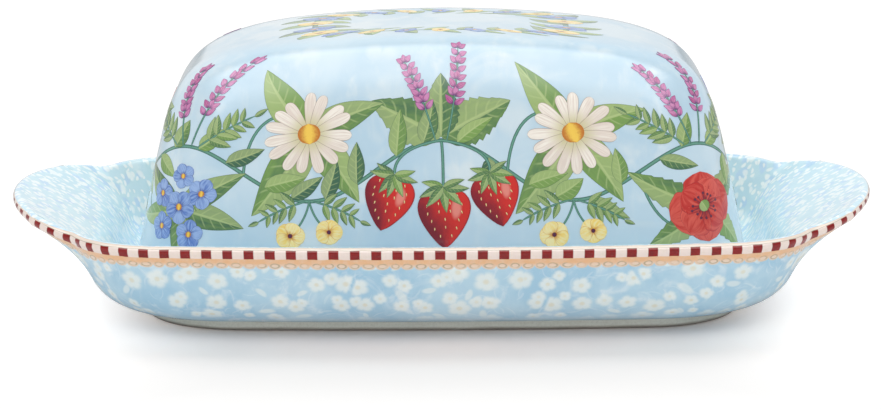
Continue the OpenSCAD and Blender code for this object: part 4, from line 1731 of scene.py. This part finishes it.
class BUTTERDISH_OT_lid(Operator):
    """Make the lid as one fine shell with its blue wash"""
    bl_idname = "butterdish.lid"
    bl_label = "Lid"

    def execute(self, context):
        values = settings()
        form = LidForm(values.lid, DishForm(values.dish))
        rings, below = form.shell_rings()
        bm = bmesh.new()
        rows = loft(bm, rings)
        lay_uv(bm, rows, "surface", *form.surface_map(rings, below))
        close_shell(bm, rows)
        finish_piece(bm, "lid_shell", lid_paint(values.glaze), "lid_body", "lid")
        return {"FINISHED"}


class PaintOperator:
    """What the operators of the garland share: strokes of one or more paints, laid on the lid"""

    def lay(self, **coats):
        """Lays the strokes of each paint with its material, as a piece named for the paint."""
        values = settings()
        paper = LidPaper(LidForm(values.lid, DishForm(values.dish)))
        strokes = plan_garland(paper.girth / MM)
        for paint, material in coats.items():
            lay_strokes(paper, strokes[paint], "lid_" + paint, material)


class BUTTERDISH_OT_stems(PaintOperator, Operator):
    """Paint the vine and the stems on the lid"""
    bl_idname = "butterdish.stems"
    bl_label = "Stems"

    def execute(self, context):
        c = settings().paint
        self.lay(stems=dab_enamel("stem_enamel", c.stem, c.stem_dark))
        return {"FINISHED"}


class BUTTERDISH_OT_leaves(PaintOperator, Operator):
    """Paint the leaves on the lid"""
    bl_idname = "butterdish.leaves"
    bl_label = "Leaves"

    def execute(self, context):
        c = settings().paint
        self.lay(leaves=leaf_enamel("leaf_enamel", c.leaf_deep, c.leaf_mid, c.leaf_light, c.leaf_ink))
        return {"FINISHED"}


class BUTTERDISH_OT_daisies(PaintOperator, Operator):
    """Paint the daisies and the yellow hearts on the lid"""
    bl_idname = "butterdish.daisies"
    bl_label = "Daisies"

    def execute(self, context):
        c = settings().paint
        self.lay(daisies=petal_enamel("daisy_enamel", c.petal, c.petal_shade, c.petal_base, c.ink),
                 hearts=dab_enamel("heart_enamel", c.heart, c.heart_dark))
        return {"FINISHED"}


class BUTTERDISH_OT_berries(PaintOperator, Operator):
    """Paint the strawberries and their seeds on the lid"""
    bl_idname = "butterdish.berries"
    bl_label = "Strawberries"

    def execute(self, context):
        c = settings().paint
        self.lay(berries=berry_enamel("berry_enamel", c.berry, c.berry_deep, c.berry_shine),
                 seeds=dab_enamel("seed_enamel", c.seed, c.seed_dark))
        return {"FINISHED"}


class BUTTERDISH_OT_poppies(PaintOperator, Operator):
    """Paint the poppies and their stamens on the lid"""
    bl_idname = "butterdish.poppies"
    bl_label = "Poppies"

    def execute(self, context):
        c = settings().paint
        self.lay(poppies=petal_enamel("poppy_enamel", c.poppy, c.poppy_light, c.poppy_deep, c.poppy_deep),
                 stamens=dab_enamel("stamen_enamel", c.stamen, c.poppy_deep))
        return {"FINISHED"}


class BUTTERDISH_OT_small_flowers(PaintOperator, Operator):
    """Paint the small blue, yellow and violet flowers on the lid"""
    bl_idname = "butterdish.small_flowers"
    bl_label = "Small flowers"

    def execute(self, context):
        c = settings().paint
        self.lay(
            bluets=petal_enamel("blue_enamel", c.blue, c.blue_light, c.blue_deep, c.blue_deep),
            buttercups=petal_enamel(
                "yellow_enamel", c.yellow, c.yellow_light, c.yellow_deep, c.yellow_deep),
            lavender=petal_enamel(
                "violet_enamel", c.violet, c.violet_light, c.violet_deep, c.violet_deep))
        return {"FINISHED"}


class BUTTERDISH_PT_panel(Panel):
    """Lists the pieces and their values"""
    bl_label = "Butter Dish"
    bl_idname = "BUTTERDISH_PT_panel"
    bl_space_type = "VIEW_3D"
    bl_region_type = "UI"
    bl_category = "Butter Dish"

    def draw(self, context):
        values = settings()
        for operator in PIECES:
            self.layout.operator(operator.bl_idname)
        for group in (values.dish, values.lid, values.border, values.glaze, values.paint, values.stage):
            box = self.layout.box()
            for key in group.__annotations__:
                box.prop(group, key)


PIECES = (
    BUTTERDISH_OT_stage, BUTTERDISH_OT_dish, BUTTERDISH_OT_lid, BUTTERDISH_OT_stems, BUTTERDISH_OT_leaves,
    BUTTERDISH_OT_daisies, BUTTERDISH_OT_berries, BUTTERDISH_OT_poppies, BUTTERDISH_OT_small_flowers)
CLASSES = (
    DishSizes, LidSizes, BorderSizes, GlazeColours, PaintColours, StageSettings, ButterDishSettings,
    *PIECES, BUTTERDISH_PT_panel)


def register():
    for item in CLASSES:
        bpy.utils.register_class(item)
    bpy.types.Scene.butter_dish = PointerProperty(type=ButterDishSettings)


def unregister():
    del bpy.types.Scene.butter_dish
    for item in reversed(CLASSES):
        bpy.utils.unregister_class(item)


def main():
    """Makes every piece and the stage in order."""
    register()
    for operator in PIECES:
        family, name = operator.bl_idname.split(".")
        getattr(getattr(bpy.ops, family), name)()


if __name__ == "__main__":
    main()
